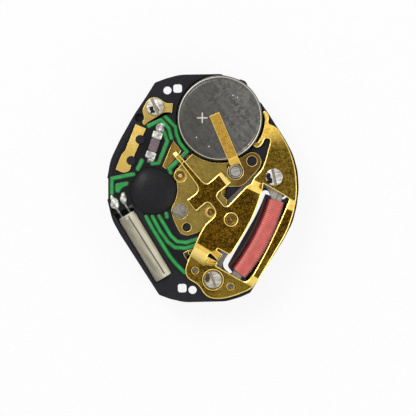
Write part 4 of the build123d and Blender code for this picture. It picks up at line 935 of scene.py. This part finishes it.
@coating(Metallic=0.1, IOR=1.5, Roughness=0.34)
def lacquer(tree, where, tone):
    """Green lacquer over copper, with slow changes of shade."""
    shade = mix(tree, clouds(tree, where, 0.6), scaled(tone, 0.82), scaled(tone, 1.2))
    return shade, None, (clouds(tree, where, 0.12), 0.004, 0.3)


CONTACT_LOW_RAMP = [(138, 130), (120, 168)]


@coating(Metallic=0.75)
def satin_gilt(tree, where, tone):
    """Satin gilt with pale clouds, darker towards the lower left."""
    cloud = clouds(tree, where, 1.1, 0.4)
    fine = pebbles(tree, where, 0.12, 0.5, scaled(tone, 0.8), scaled(tone, 1.12))
    shade = layers(tree, fine["Color"], (times(tree, cloud, 0.45), colour(208, 188, 124)),
                   (times(tree, ramp(tree, where, *CONTACT_LOW_RAMP), 0.8), scaled(tone, 0.62)))
    return shade, (cloud, 0.34, 0.46), (fine["Height"], 0.003, 0.3)


# Operators: one for each piece or group of like pieces

class MOVEMENT_OT_plate(bpy.types.Operator):
    """Black moulded main plate with softened edges"""
    bl_idname = "movement.plate"
    bl_label = "Main plate"

    def execute(self, context):
        flat = moulded("plate_plastic", context.scene.movement_board.plastic, 0.46, 0.09)
        rim = moulded("plate_rim", colour(34, 62, 50), 0.42, 0.09)
        rounded("plate", "main_plate", [flat, flat, flat, rim], 0.028)
        return {"FINISHED"}


# Where the cover shows no painted highlight strip: a pixel, two distances in mm and the material there
TABS_PIXEL = (213, 257)
PLAIN_RINGS = [(ROTOR_PIXEL, 0, 0.47, FLAT), (ROTOR_PIXEL, 0.575, 0.75, FLAT), (SCREW_PIXELS[2], 0, 0.96, FLAT),
               (TABS_PIXEL, 0, 0.85, SLOPE), *[(pixel, 0, 0.45, FLAT) for pixel in STUD_PIXELS]]
# A thin ring of painted highlight round the foot's screw
FOOT_SCREW_RING = [(0.785, 1.98), (0.865, 1.98), (0.865, 2.02), (0.785, 2.02), (0.785, 1.98)]


class MOVEMENT_OT_cover(bpy.types.Operator):
    """Stamped gilt cover whose folds and edges are painted bright as highlights"""
    bl_idname = "movement.cover"
    bl_label = "Cover plate"

    def execute(self, context):
        cover = stamped("cover", "cover_plate", [cover_flat(), cover_fold(), cut_side(), edge_highlight()],
                        0.078, 0.03)
        for pixel, inner, outer, number in PLAIN_RINGS:
            repaint(cover, pixel, inner, outer, number, on_strip)
        turned_piece("foot_screw_highlight_ring", SCREW_PIXELS[2], FOOT_SCREW_RING, 0.02, [edge_highlight()])
        return {"FINISHED"}


# The bridge's bushes: a name, a pixel, and the outer radius and the bore in mm
BUSHES = [("third", THIRD_PIXEL, 0.5, 0.062), ("intermediate", INTERMEDIATE_PIXEL, 0.4, 0.062),
          ("seconds", PHOTO_CENTRE, 0.3, 0.112)]
BUSH_RING_WIDTH = 0.09
STONE_RADIUS = 0.13


class MOVEMENT_OT_bridge(bpy.types.Operator):
    """Matte gilt bridge over the wheel train, with its bushes and rivet"""
    bl_idname = "movement.bridge"
    bl_label = "Train bridge"

    def execute(self, context):
        # The bridge's bright rounded edge is a painted highlight
        edge = grained("bridge_edge_highlight", colour(226, 196, 108), 0.15, 0.2, metallic=0.75, rough=0.34)
        flat = bridge_flat()
        rounded("bridge", "train_bridge", [flat, flat, cut_side(), edge], 0.055, False)
        top = top_of("train_bridge") / MM
        self.bushes(top)
        head = top_of("bridge_rivet") / MM
        grey = grained("rivet_grey", colour(128, 122, 109), 0.34, 0.1, metallic=0.7, rough=0.5, depth=0.01)
        turned_piece("bridge_rivet_head", BRIDGE_RIVET_PIXEL, [
            (0, top - 0.2), (0.6, top - 0.2), (0.6, head - 0.01), (0, head + 0.012)], 0.04, [grey],
            ("bridge_rivet",))
        return {"FINISHED"}

    def bushes(self, top):
        """Three bushes: a ring, a sunk cup and a hole for the pivot."""
        brass = grained("bush_gilt", colour(120, 90, 26), 0.5, 0.1, metallic=0.8, rough=0.4)
        bright = grained("bush_ring", colour(206, 176, 88), 0.15, 0.2, metallic=0.8, rough=0.34)
        stone = grained("bush_stone", colour(244, 230, 196), 0.06, 0.2, metallic=0.1, rough=0.3)
        for name, pixel, outer, bore in BUSHES:
            cup = outer * 0.62
            piece = turned_piece(f"bush_{name}", pixel, [
                (bore, top - 0.2), (outer, top - 0.2), (outer, top + 0.004), (outer - 0.07, top + 0.012),
                (cup, top - 0.004), (cup * 0.8, top - 0.06), (bore + 0.07, top - 0.07),
                (bore + 0.05, top - 0.04), (bore, top - 0.04), (bore, top - 0.2)], 0.02,
                [brass, bright, stone])
            repaint(piece, pixel, outer - BUSH_RING_WIDTH, outer, RING, faces_up)
            if name == "third":
                repaint(piece, pixel, 0, STONE_RADIUS, STONE, faces_up)
        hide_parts("upper_bushes")


# Inner and outer radius of the rotor bush's painted highlight ring and of the darker ring on the strap's rivet, in mm
ROTOR_RING = (0.34, 0.4)
STRAP_RIVET_RING = (0.38, 0.46)
# Distance from a screw's axis, and the height that its slot's floor stays below, in mm
SCREW_REACH = 0.75
SCREW_SLOT_LEVELS = [2.12, 2.25, 2.2]
STUD_SPOKES = 48


class MOVEMENT_OT_screws(bpy.types.Operator):
    """Three slotted screws, with their pillars and the cover's studs"""
    bl_idname = "movement.screws"
    bl_label = "Screws and studs"

    def execute(self, context):
        steel = screw_steel()
        slot = moulded("slot_grey", colour(160, 154, 138), 0.5, 0.1)
        rim = grained("screw_rim", colour(214, 206, 184), 0.2, 0.2, metallic=0.85, rough=0.3)
        screws = stamped("screws", "cover_screws", [steel, steel, slot, rim], 0.03, 0.025)
        for pixel, level in zip(SCREW_PIXELS, SCREW_SLOT_LEVELS):
            repaint(screws, pixel, 0, SCREW_REACH, SIDE, lambda face: face.center.z < level * MM)
        grey = grained("stud_grey", colour(98, 94, 85), 0.35, 0.08, metallic=0.8, rough=0.42)
        gold = grained("stud_ring", colour(214, 174, 84), 0.2, 0.2, metallic=0.8, rough=0.35)
        seat = top_of("locating_studs") / MM
        for number, pixel in enumerate(STUD_PIXELS, 1):
            turned_piece(f"stud_{number}", pixel, [
                (0, seat - 0.7), (0.24, seat - 0.7), (0.24, seat - 0.03), (0.17, seat), (0.08, seat - 0.02),
                (0, seat - 0.03)], 0.03, [grey], spokes=STUD_SPOKES)
            turned_piece(f"stud_ring_{number}", pixel, [
                (0.255, seat - 0.06), (0.325, seat - 0.06), (0.325, seat - 0.045), (0.255, seat - 0.045),
                (0.255, seat - 0.06)], 0.015, [gold], spokes=STUD_SPOKES)
        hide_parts("locating_studs")
        return {"FINISHED"}


class MOVEMENT_OT_rotor_bush(bpy.types.Operator):
    """Dished bush over the rotor's pivot"""
    bl_idname = "movement.rotor_bush"
    bl_label = "Rotor bush"

    def execute(self, context):
        top = top_of("rotor_bush") / MM
        dark = grained("rotor_bush_gilt", colour(104, 78, 22), 0.5, 0.1, metallic=0.8, rough=0.36)
        bright = grained("rotor_bush_highlight_ring", colour(150, 118, 44), 0.2, 0.2, metallic=0.8, rough=0.34)
        piece = turned_piece("rotor_bush_dish", ROTOR_PIXEL, [
            (0.062, top - 0.14), (0.42, top - 0.14), (0.42, top - 0.004), (0.36, top), (0.3, top - 0.05),
            (0.14, top - 0.055), (0.1, top - 0.03), (0.062, top - 0.04), (0.062, top - 0.14)], 0.02,
            [dark, bright], ("rotor_bush",))
        repaint(piece, ROTOR_PIXEL, *ROTOR_RING, RING, faces_up)
        return {"FINISHED"}


CELL_SPOKES = 160
CELL_CORNER_STEPS = 6


class MOVEMENT_OT_cell(bpy.types.Operator):
    """Button cell with a rolled rim"""
    bl_idname = "movement.cell"
    bl_label = "Button cell"

    def execute(self, context):
        radius = context.scene.movement_cell.radius / MM
        top, low = top_of("battery_can") / MM, bottom_of("battery_can") / MM
        turned_piece("cell_can", BATTERY_PIXEL, [
            (radius - 0.45, low), (radius - 0.05, low), (radius, low + 0.1), (radius, top - 0.3),
            (radius - 0.07, top - 0.07), (radius - 0.2, top - 0.005), (radius - 0.28, top - 0.012),
            (radius - 0.32, top - 0.035), (radius - 0.37, top - 0.008), (radius - 0.6, top), (0, top)], 0.05,
            [cell_steel()], ("battery_can",), CELL_SPOKES, CELL_CORNER_STEPS)
        dress("battery_cap", brushed("cell_cap_steel", colour(176, 174, 168)))
        return {"FINISHED"}


class MOVEMENT_OT_strap(bpy.types.Operator):
    """Gilt strap from the cell down to its rivet"""
    bl_idname = "movement.strap"
    bl_label = "Cell strap"

    def execute(self, context):
        flat = strap_gilt()
        # The strap's slopes are painted highlights, a lit tone of its gilt
        fold = grained("strap_fold_highlight", colour(242, 200, 92), 0.14, 0.2, 0.5, 0.75, 0.32)
        stamped("strap", "battery_strap", [flat, fold, cut_side(), edge_highlight()], 0.04, 0.02)
        top = top_of("strap_rivet") / MM
        head = brushed("rivet_steel", colour(172, 168, 160), radians(80), 0.2, 0.85, 0.36)
        ring = grained("rivet_ring", colour(92, 88, 80), 0.3, 0.15, metallic=0.8, rough=0.4)
        piece = turned_piece("strap_rivet_head", STRAP_RIVET_PIXEL, [
            (0, top - 0.3), (0.5, top - 0.3), (0.55, top - 0.05), (0.5, top), (0.42, top - 0.015),
            (0.38, top - 0.004), (0, top)], 0.03, [head, ring], ("strap_rivet",))
        repaint(piece, STRAP_RIVET_PIXEL, *STRAP_RIVET_RING, RING, faces_up)
        return {"FINISHED"}


TRACK_SWELL = 0.05 * MM


class MOVEMENT_OT_board(bpy.types.Operator):
    """Circuit board with its lacquered tracks"""
    bl_idname = "movement.board"
    bl_label = "Circuit board"

    def execute(self, context):
        tone = context.scene.movement_board.lacquer
        laminate = moulded("laminate", colour(19, 19, 23), 0.42, 0.11, 0.3)
        rim = moulded("laminate_rim", colour(58, 60, 64), 0.4, 0.1)
        rounded("board", "circuit_board", [laminate, laminate, laminate, rim], 0.02)
        green, dark = lacquer("track_lacquer", tone), lacquer("track_lacquer_edge", scaled(tone, 0.3))
        tracks = stamped("tracks", "copper_tracks", [green, green, dark, dark], 0.025, 0.02)
        swell(tracks.data, TRACK_SWELL)
        return {"FINISHED"}


CHIP_RADIUS = 1.86 * MM
CHIP_BULGES = [(0.07, radians(112), 0.42), (0.03, 0.3, 0.4)]
CHIP_WAVES = (0.016, 0.009, 0.02)
CHIP_GRID = (40, 180)
CHIP_CURVE = 2.6
CHIP_EDGE_POWER = 0.62


class MOVEMENT_OT_chip(bpy.types.Operator):
    """Dome of black resin over the chip"""
    bl_idname = "movement.chip"
    bl_label = "Chip dome"

    def execute(self, context):
        """The outline is a circle with slow and fine waves and two bulges, each a bell curve of the angle. The
        height falls from the middle to it as (1 - share to one power) to another."""
        centre = place(CHIP_PIXEL)
        base, top = bottom_of("chip_cover"), top_of("chip_cover")
        share = np.linspace(0, 1, CHIP_GRID[0])[:, None]
        angle = np.linspace(0, 2 * pi, CHIP_GRID[1], endpoint=False)[None, :]
        slow, fine = wander(4), wander(9, 14)
        bulge = sum(size * np.exp(-((angle - middle) / width) ** 2) for size, middle, width in CHIP_BULGES)
        reach = CHIP_RADIUS * (1 + CHIP_WAVES[0] * slow(angle) + CHIP_WAVES[1] * fine(2 * angle) + bulge)
        x, y = centre[0] + reach * share * np.cos(angle), centre[1] + reach * share * np.sin(angle)
        crown = np.clip(1 - share ** CHIP_CURVE, 0, 1) ** CHIP_EDGE_POWER
        z = base + (top - base) * crown * (1 + CHIP_WAVES[2] * slow(angle, 5 * share) * share)
        resin = moulded("chip_resin", context.scene.movement_board.resin, 0.44, 0.16, 0.14, 0.006, 0.3)
        points = with_floor(np.stack(np.broadcast_arrays(x, y, z), -1), centre)
        surface("chip_dome", points, [resin], ("chip_cover",), SOFT_SHARP)
        return {"FINISHED"}


CAP_LENGTH = 0.6 * MM
CAP_WIDTH = 0.82 * MM
CERAMIC_WIDTH = 0.74 * MM
CERAMIC_DROP = 0.02 * MM
BRICK_POWER = 1 / 3
BRICK_GRID = (25, 64)
BRICK_SKIN = 0.02
BRICK_SHARP = radians(50)
CAPACITOR_SOLDER = [("solder_low", (150.6, 157.6), (0.4, 0.36), 0.42),
                    ("solder_high", (160.4, 128.6), (0.42, 0.36), 0.4),
                    ("solder_tip", (161.6, 125.2), (0.22, 0.3), 0.16)]


class MOVEMENT_OT_capacitor(bpy.types.Operator):
    """Ceramic capacitor with tinned ends and solder"""
    bl_idname = "movement.capacitor"
    bl_label = "Capacitor"

    def execute(self, context):
        start, along, length = line_between(*CAPACITOR_PIXELS)
        end, middle = start + along * length, start + along * length / 2
        turn = float(np.arctan2(along[1], along[0]))
        base, top = bottom_of("capacitor_body"), top_of("capacitor_body")
        ceramic = moulded("capacitor_ceramic", colour(119, 104, 109), 0.5, 0.12, 0.22, 0.005, 0.5)
        tin = solder_metal()
        for name, where, size, high, material, slot, replaced, seed in (
                ("ceramic_body", middle, (length - 2 * CAP_LENGTH, CERAMIC_WIDTH), top - CERAMIC_DROP, ceramic,
                 "ceramic_mauve", ("capacitor_body",), 3),
                ("cap_lower", start + along * CAP_LENGTH / 2, (CAP_LENGTH, CAP_WIDTH), top, tin, "solder",
                 ("capacitor_end_caps",), 5),
                ("cap_upper", end - along * CAP_LENGTH / 2, (CAP_LENGTH, CAP_WIDTH), top, tin, "solder", (), 5)):
            self.brick(f"capacitor_{name}", where, size, base, high, turn, material, slot, replaced, seed)
        solder_lumps([(*row, turn) for row in CAPACITOR_SOLDER], base, 11, 0.3)
        return {"FINISHED"}

    def brick(self, name, centre, size, base, top, turn, material, slot, replaced, seed):
        """Rounded brick: a superellipsoid, each of whose sines and cosines is taken to one power with its sign
        kept, with a wandering skin."""
        v = np.linspace(-pi / 2, pi / 2, BRICK_GRID[0])[:, None]
        u = np.linspace(-pi, pi, BRICK_GRID[1], endpoint=False)[None, :]

        def bend(value):
            return np.sign(value) * np.abs(value) ** BRICK_POWER
        skin = 1 + BRICK_SKIN * wander(seed)(u, 2 * v)
        across = size[0] / 2 * bend(np.cos(v)) * bend(np.cos(u)) * skin
        beside = size[1] / 2 * bend(np.cos(v)) * bend(np.sin(u)) * skin
        z = (base + top) / 2 + (top - base) / 2 * bend(np.sin(v)) * np.ones_like(u)
        surface(name, np.stack([*laid(centre, turn, across, beside), z], -1), [material], replaced,
                BRICK_SHARP)


CRYSTAL_SPOKES = 72
CRYSTAL_SOLDER = [("solder_pool_left", (114.6, 203.4), (0.34, 0.5), 0.26, 0.25),
                  ("solder_pool_tip", (111.9, 197.6), (0.14, 0.24), 0.12, 0.2),
                  ("solder_pool_right", (123.1, 198.4), (0.26, 0.5), 0.27, 0.12)]


class MOVEMENT_OT_crystal(bpy.types.Operator):
    """Crystal's can with its leads and solder"""
    bl_idname = "movement.crystal"
    bl_label = "Crystal"

    def execute(self, context):
        """The can is a profile of radius and reach, turned round the line between two pixels' places."""
        start, along, length = line_between(*CRYSTAL_PIXELS)
        profile = rounded_profile([
            (0, 0.02), (0.68, 0.02), (0.71, 0.1), (0.71, 0.22), (0.745, 0.3), (0.745, length / MM - 0.04),
            (0.66, length / MM), (0, length / MM)], 0.05)
        radius, reach = profile.T[:, :, None] * MM
        angle = np.linspace(0, 2 * pi, CRYSTAL_SPOKES, endpoint=False)
        side, rise = radius * np.cos(angle), radius * np.sin(angle)
        x = start[0] + along[0] * reach - along[1] * side
        y = start[1] + along[1] * reach + along[0] * side
        surface("crystal_shell", np.stack([x, y, CRYSTAL_HEIGHT + rise], -1), [crystal_metal()],
                ("crystal_can",))
        dress("crystal_leads", brushed("lead_wire", colour(150, 148, 142), 0.0, 0.2, 0.8, 0.4))
        solder_lumps(CRYSTAL_SOLDER, bottom_of("solder_joints"), 21, 0.2, ("solder_joints",))
        return {"FINISHED"}


class MOVEMENT_OT_contacts(bpy.types.Operator):
    """Gilt contacts on the board"""
    bl_idname = "movement.contacts"
    bl_label = "Contacts"

    def execute(self, context):
        tone = context.scene.movement_sheet.contact
        flat = satin_gilt("contact_gilt", scaled(tone, 1.5))
        satin = satin_gilt("lug_gilt", scaled(tone, 0.84))
        dull = grained("pad_gilt", colour(135, 105, 38), 0.24, 0.1, metallic=0.7, rough=0.46)
        line = edge_highlight()
        hollow = grained("loop_gilt", colour(26, 20, 12), 0.3, 0.1, metallic=0.3, rough=0.6)
        rounded("contact_strip", "contact_plate", [flat, flat, cut_side(), line], 0.03)
        for name, node, material in (("lug", "contact_lug", satin), ("pad", "pad_contact", dull),
                                     ("loop", "loop_contact", hollow)):
            stamped(name, node, [material, material, cut_side(), line], 0.04, 0.02)
        return {"FINISHED"}


COIL_FLATNESS = 0.75
COIL_INNER_REACH = 1.2
COIL_BULGE = 0.11
COIL_WAVES, COIL_DRIFT = 0.018, 0.02
COIL_SPOKES = 48
TURN_STEPS = 10
GROOVE_POWER = 0.7
END_RINGS = [0.0, 0.6]
FIRST_STEP_SHARE = 0.8
TAPER_STEPS = 6


def arc_through(pixels):
    """Centre, radius, start angle and sweep of the arc through three pixels' places."""
    a, b, c = [complex(*place(p)) for p in pixels]
    ratio = (c - a) / (b - a)
    centre = (b - a) * (ratio - abs(ratio) ** 2) / (2j * ratio.imag) + a
    start = np.angle(a - centre)
    sweep = (np.angle(c - centre) - start + pi) % (2 * pi) - pi
    return (centre.real, centre.imag), abs(a - centre), start, sweep


def coil_bulge(share):
    """How much wider than its ends the winding is at a share of its length."""
    return 1 + COIL_BULGE * np.sin(pi * np.clip(share, 0, 1))


def ridge_height(turns, share, around):
    """1 on a turn's crest and 0 in the groove beside it, at a share of the length and an angle around."""
    return np.abs(np.sin((turns * 2 * pi * share - around) / 2)) ** GROOVE_POWER


class MOVEMENT_OT_coil(bpy.types.Operator):
    """Motor coil with its turns, core and lead"""
    bl_idname = "movement.coil"
    bl_label = "Coil"

    def execute(self, context):
        self.winding(context.scene.movement_coil)
        iron = brushed("core_iron", colour(160, 153, 144), radians(20), 0.3, 0.8, 0.42)
        rounded("core", "coil_core", [iron], 0.02)
        rounded("stator_iron", "stator", [iron], 0.02)
        dress("coil_lead", moulded("lead_copper", colour(96, 48, 34), 0.4, 0.1))
        return {"FINISHED"}

    def winding(self, coil):
        """Barrel along an arc. Its radius is the coil's, less a groove after each turn of a helix, times a slow
        wander. Its section is a flattened circle, wider on the arc's inner side and at the middle of its
        length, and both ends close on the arc."""
        centre, arc, start, sweep = arc_through(COIL_ARC_PIXELS)
        steps = coil.turns * TURN_STEPS
        reach = np.linspace(0, 1, steps)[:, None]
        around = np.linspace(0, 2 * pi, COIL_SPOKES, endpoint=False)[None, :]
        groove = coil.wire * (1 - ridge_height(coil.turns, reach, around))
        waves, drift = wander(3, 8), wander(8, 5)
        swelling = 1 + COIL_WAVES * waves(around, 9 * reach) + COIL_DRIFT * drift(0.0, 14 * reach)
        radius = (coil.radius - groove) * swelling
        radius = radius * np.minimum(1, np.minimum(reach, 1 - reach) * steps / TAPER_STEPS + FIRST_STEP_SHARE)
        ends = np.array(END_RINGS)[:, None] * np.ones_like(around) * coil.radius
        radius = np.concatenate([ends, radius, ends[::-1]])
        reach = np.concatenate([np.zeros((2, 1)), reach, np.ones((2, 1))])
        angle = start + sweep * reach
        across = np.cos(around)
        across = np.sign(across) * np.abs(across) ** COIL_FLATNESS * np.where(across < 0, COIL_INNER_REACH, 1)
        beside = arc + radius * across * coil_bulge(reach)
        points = np.stack(np.broadcast_arrays(
            centre[0] + beside * np.cos(angle), centre[1] + beside * np.sin(angle),
            COIL_HEIGHT + radius * np.sin(around)), -1)
        if sweep > 0:
            points = points[::-1]
        piece = surface("coil_turns", points, [coil_enamel()], ("coil_winding",), SOFT_SHARP)
        self.paint(piece, centre, arc, start, sweep, coil)

    def paint(self, piece, centre, arc, start, sweep, coil):
        """Attributes of each point: how deep it lies in a groove, and how far to the outside of the arc."""
        spots = np.zeros(len(piece.data.vertices) * 3)
        piece.data.vertices.foreach_get("co", spots)
        x, y, z = spots.reshape(-1, 3).T
        x, y, rise = x - centre[0], y - centre[1], z - COIL_HEIGHT
        share = ((np.arctan2(y, x) - start + pi) % (2 * pi) - pi) / sweep
        side = (np.hypot(x, y) - arc) / coil.radius / coil_bulge(share)
        side = np.where(side < 0, side / COIL_INNER_REACH, side)
        around = np.arctan2(rise / coil.radius, np.sign(side) * np.abs(side) ** (1 / COIL_FLATNESS))
        for name, values in (("groove", 1 - ridge_height(coil.turns, share, around)), ("side", side)):
            attribute = piece.data.attributes.new(name, "FLOAT", "POINT")
            attribute.data.foreach_set("value", values.astype(np.float32))


DRESSED_ELSEWHERE = ("battery_cap", "crystal_leads", "coil_lead")


class MOVEMENT_OT_works(bpy.types.Operator):
    """Wheels, hand stack, keeper plate and setting works of the dial side"""
    bl_idname = "movement.works"
    bl_label = "Wheels and setting works"

    def execute(self, context):
        for material, slots in (
                (brushed("wheel_gilt", colour(206, 170, 92), radians(35), 0.14, 0.85, 0.34), ["wheel_brass"]),
                (brushed("arbor_steel", colour(176, 174, 170), radians(90), 0.16, 0.9, 0.3),
                 ["steel", "post_steel", "battery_steel"]),
                (moulded("magnet_grey", colour(72, 72, 76), 0.5, 0.1), ["magnet", "silicon", "oxide", "zinc"]),
                (moulded("gasket_nylon", colour(224, 222, 214), 0.5, 0.15, 0.06), ["gasket", "paper", "quartz"]),
                (moulded("insulating_film", colour(206, 168, 92), 0.4, 0.3, 0.1), ["film"]),
                (grained("strip_gilt", colour(206, 170, 88), 0.15, 0.12), ["gold_plate"])):
            self.dress_slots(material, slots)
        keeper = brushed("keeper_steel", colour(186, 184, 178), radians(60), 0.14, 0.9, 0.34)
        rim = brushed("keeper_rim", colour(226, 224, 218), radians(60), 0.1, 0.9, 0.28)
        rounded("keeper", "keeper_plate", [keeper, keeper, keeper, rim], 0.015)
        return {"FINISHED"}

    def dress_slots(self, material, slots):
        """Gives each node of some record slots that no piece replaces its material."""
        for row in frame["record"]["subparts"]:
            node = row["node"]
            if row["material_slot"] in slots and node not in DRESSED_ELSEWHERE:
                if not frame["nodes"][node].hide_render:
                    dress(node, material)


FLOOR_REACH = 1.0
FLOOR_GREY = (0.82, 0.82, 0.82, 1)
FLOOR_GLOW = 0.88
WHITE = (1, 1, 1, 1)
WORLD_LIGHT = 0.6
WORLD_REFLECTED = 0.4
SENSOR_WIDTH = 36
CLIP_NEAR, CLIP_FAR = 0.01, 10
# The lamps: a name, a place and a size in metres, and a share of the power
LAMPS = [("key", (-0.10, 0.12, 0.22), 0.12, 1.0), ("fill", (0.16, -0.08, 0.16), 0.16, 0.45)]


class MOVEMENT_OT_stage(bpy.types.Operator):
    """Pale floor, soft lamps and the camera"""
    bl_idname = "movement.stage"
    bl_label = "Stage"

    def execute(self, context):
        settings = context.scene.movement_stage
        self.floor()
        self.world(context.scene)
        self.lamps(settings.lamp_power)
        self.camera(context.scene, settings.camera_height)
        context.scene.view_settings.view_transform = "Standard"
        return {"FINISHED"}

    def floor(self):
        """Flat square under the lowest point. What the camera sees of it directly is nearly white."""
        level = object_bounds()[0][2]
        mesh = bpy.data.meshes.new("floor")
        mesh.from_pydata([(x * FLOOR_REACH, y * FLOOR_REACH, level) for x, y in ((-1, -1), (1, -1), (1, 1), (-1, 1))],
                         [], [(0, 1, 2, 3)])
        floor = bpy.data.objects.new("floor", mesh)
        bpy.context.scene.collection.objects.link(floor)
        material = bpy.data.materials.new("floor_white")
        material.use_nodes = True
        tree = material.node_tree
        shader = tree.nodes["Principled BSDF"]
        shader.inputs["Base Color"].default_value = FLOOR_GREY
        shader.inputs["Roughness"].default_value = 0.8
        glow = add(tree, "ShaderNodeEmission", {"Color": WHITE, "Strength": 1.0})
        both = add(tree, "ShaderNodeMixShader", {
            0: times(tree, seen_ray(tree), FLOOR_GLOW), 1: shader.outputs[0], 2: glow.outputs[0]})
        tree.links.new(both.outputs[0], tree.nodes["Material Output"].inputs["Surface"])
        mesh.materials.append(material)
        floor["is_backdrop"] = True

    def world(self, scene):
        """White where the camera's rays meet it, less so for reflections, and a soft light otherwise."""
        world = bpy.data.worlds.new("studio")
        scene.world = world
        world.use_nodes = True
        tree = world.node_tree
        strength = remap(tree, world_ray(tree), 0.0, 1.0, WORLD_LIGHT, 1.0)
        link_or_set(tree, tree.nodes["Background"].inputs["Strength"], strength)
        tree.nodes["Background"].inputs["Color"].default_value = WHITE

    def lamps(self, power):
        """Square lamps that point at the hands' axis."""
        for name, where, size, share in LAMPS:
            lamp = bpy.data.lights.new(name, "AREA")
            lamp.energy = power * share
            lamp.size = size
            held = bpy.data.objects.new(name, lamp)
            held.location = where
            x, y, z = where
            held.rotation_euler = (float(np.arctan2(np.hypot(x, y), z)), 0, float(np.arctan2(y, x)) + pi / 2)
            bpy.context.scene.collection.objects.link(held)

    def camera(self, scene, height):
        """Camera straight above, turned as in the photograph, whose frame it fills at the plates' height."""
        lens = bpy.data.cameras.new("camera")
        held = bpy.data.objects.new("camera", lens)
        scene.collection.objects.link(held)
        middle = place((PHOTO_FRAME / 2, PHOTO_FRAME / 2))
        held.location = (*middle, top_of("cover_plate") + height)
        held.rotation_euler = (0, 0, -PHOTO_TURN)
        lens.sensor_width = SENSOR_WIDTH
        width = PHOTO_FRAME * PLATE_HALF_SIZE[0] / PHOTO_HALF_SIZE[0]
        lens.lens = lens.sensor_width * height / width
        lens.clip_start, lens.clip_end = CLIP_NEAR, CLIP_FAR
        scene.camera = held


def world_ray(tree):
    """One for the camera's rays, and a part of one for reflections."""
    path = add(tree, "ShaderNodeLightPath").outputs
    return math(tree, "MAXIMUM", path["Is Camera Ray"], times(tree, path["Is Glossy Ray"], WORLD_REFLECTED))


def seen_ray(tree):
    """One for rays of the camera, of reflections and through glass, and zero for those that light."""
    path = add(tree, "ShaderNodeLightPath").outputs
    return math(tree, "MAXIMUM", math(tree, "MAXIMUM", path["Is Camera Ray"], path["Is Glossy Ray"]),
                path["Is Transmission Ray"])


STEPS = [MOVEMENT_OT_plate, MOVEMENT_OT_board, MOVEMENT_OT_chip, MOVEMENT_OT_capacitor, MOVEMENT_OT_crystal,
         MOVEMENT_OT_contacts, MOVEMENT_OT_coil, MOVEMENT_OT_cell, MOVEMENT_OT_bridge, MOVEMENT_OT_cover,
         MOVEMENT_OT_rotor_bush, MOVEMENT_OT_strap, MOVEMENT_OT_screws, MOVEMENT_OT_works, MOVEMENT_OT_stage]
SETTINGS = {"movement_sheet": SheetSettings, "movement_coil": CoilSettings, "movement_board": BoardSettings,
            "movement_cell": CellSettings, "movement_stage": StageSettings}


class MOVEMENT_PT_panel(bpy.types.Panel):
    """Sidebar panel with every step and its settings"""
    bl_idname = "MOVEMENT_PT_panel"
    bl_label = "Watch movement"
    bl_space_type = "VIEW_3D"
    bl_region_type = "UI"
    bl_category = "Movement"

    def draw(self, context):
        for name, group in SETTINGS.items():
            box = self.layout.box()
            for key in group.__annotations__:
                box.prop(getattr(context.scene, name), key)
        for step in STEPS:
            self.layout.operator(step.bl_idname)


CLASSES = [*SETTINGS.values(), *STEPS, MOVEMENT_PT_panel]


def register():
    """Registers the classes and puts the settings on the scene."""
    for made in CLASSES:
        bpy.utils.register_class(made)
    for name, group in SETTINGS.items():
        setattr(bpy.types.Scene, name, PointerProperty(type=group))


def unregister():
    """Takes the settings off the scene and the classes out again."""
    for name in SETTINGS:
        delattr(bpy.types.Scene, name)
    for made in reversed(CLASSES):
        bpy.utils.unregister_class(made)


def main():
    """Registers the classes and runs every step."""
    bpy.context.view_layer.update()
    register()
    for step in STEPS:
        group, name = step.bl_idname.split(".")
        getattr(getattr(bpy.ops, group), name)()


if __name__ == "__main__":
    main()
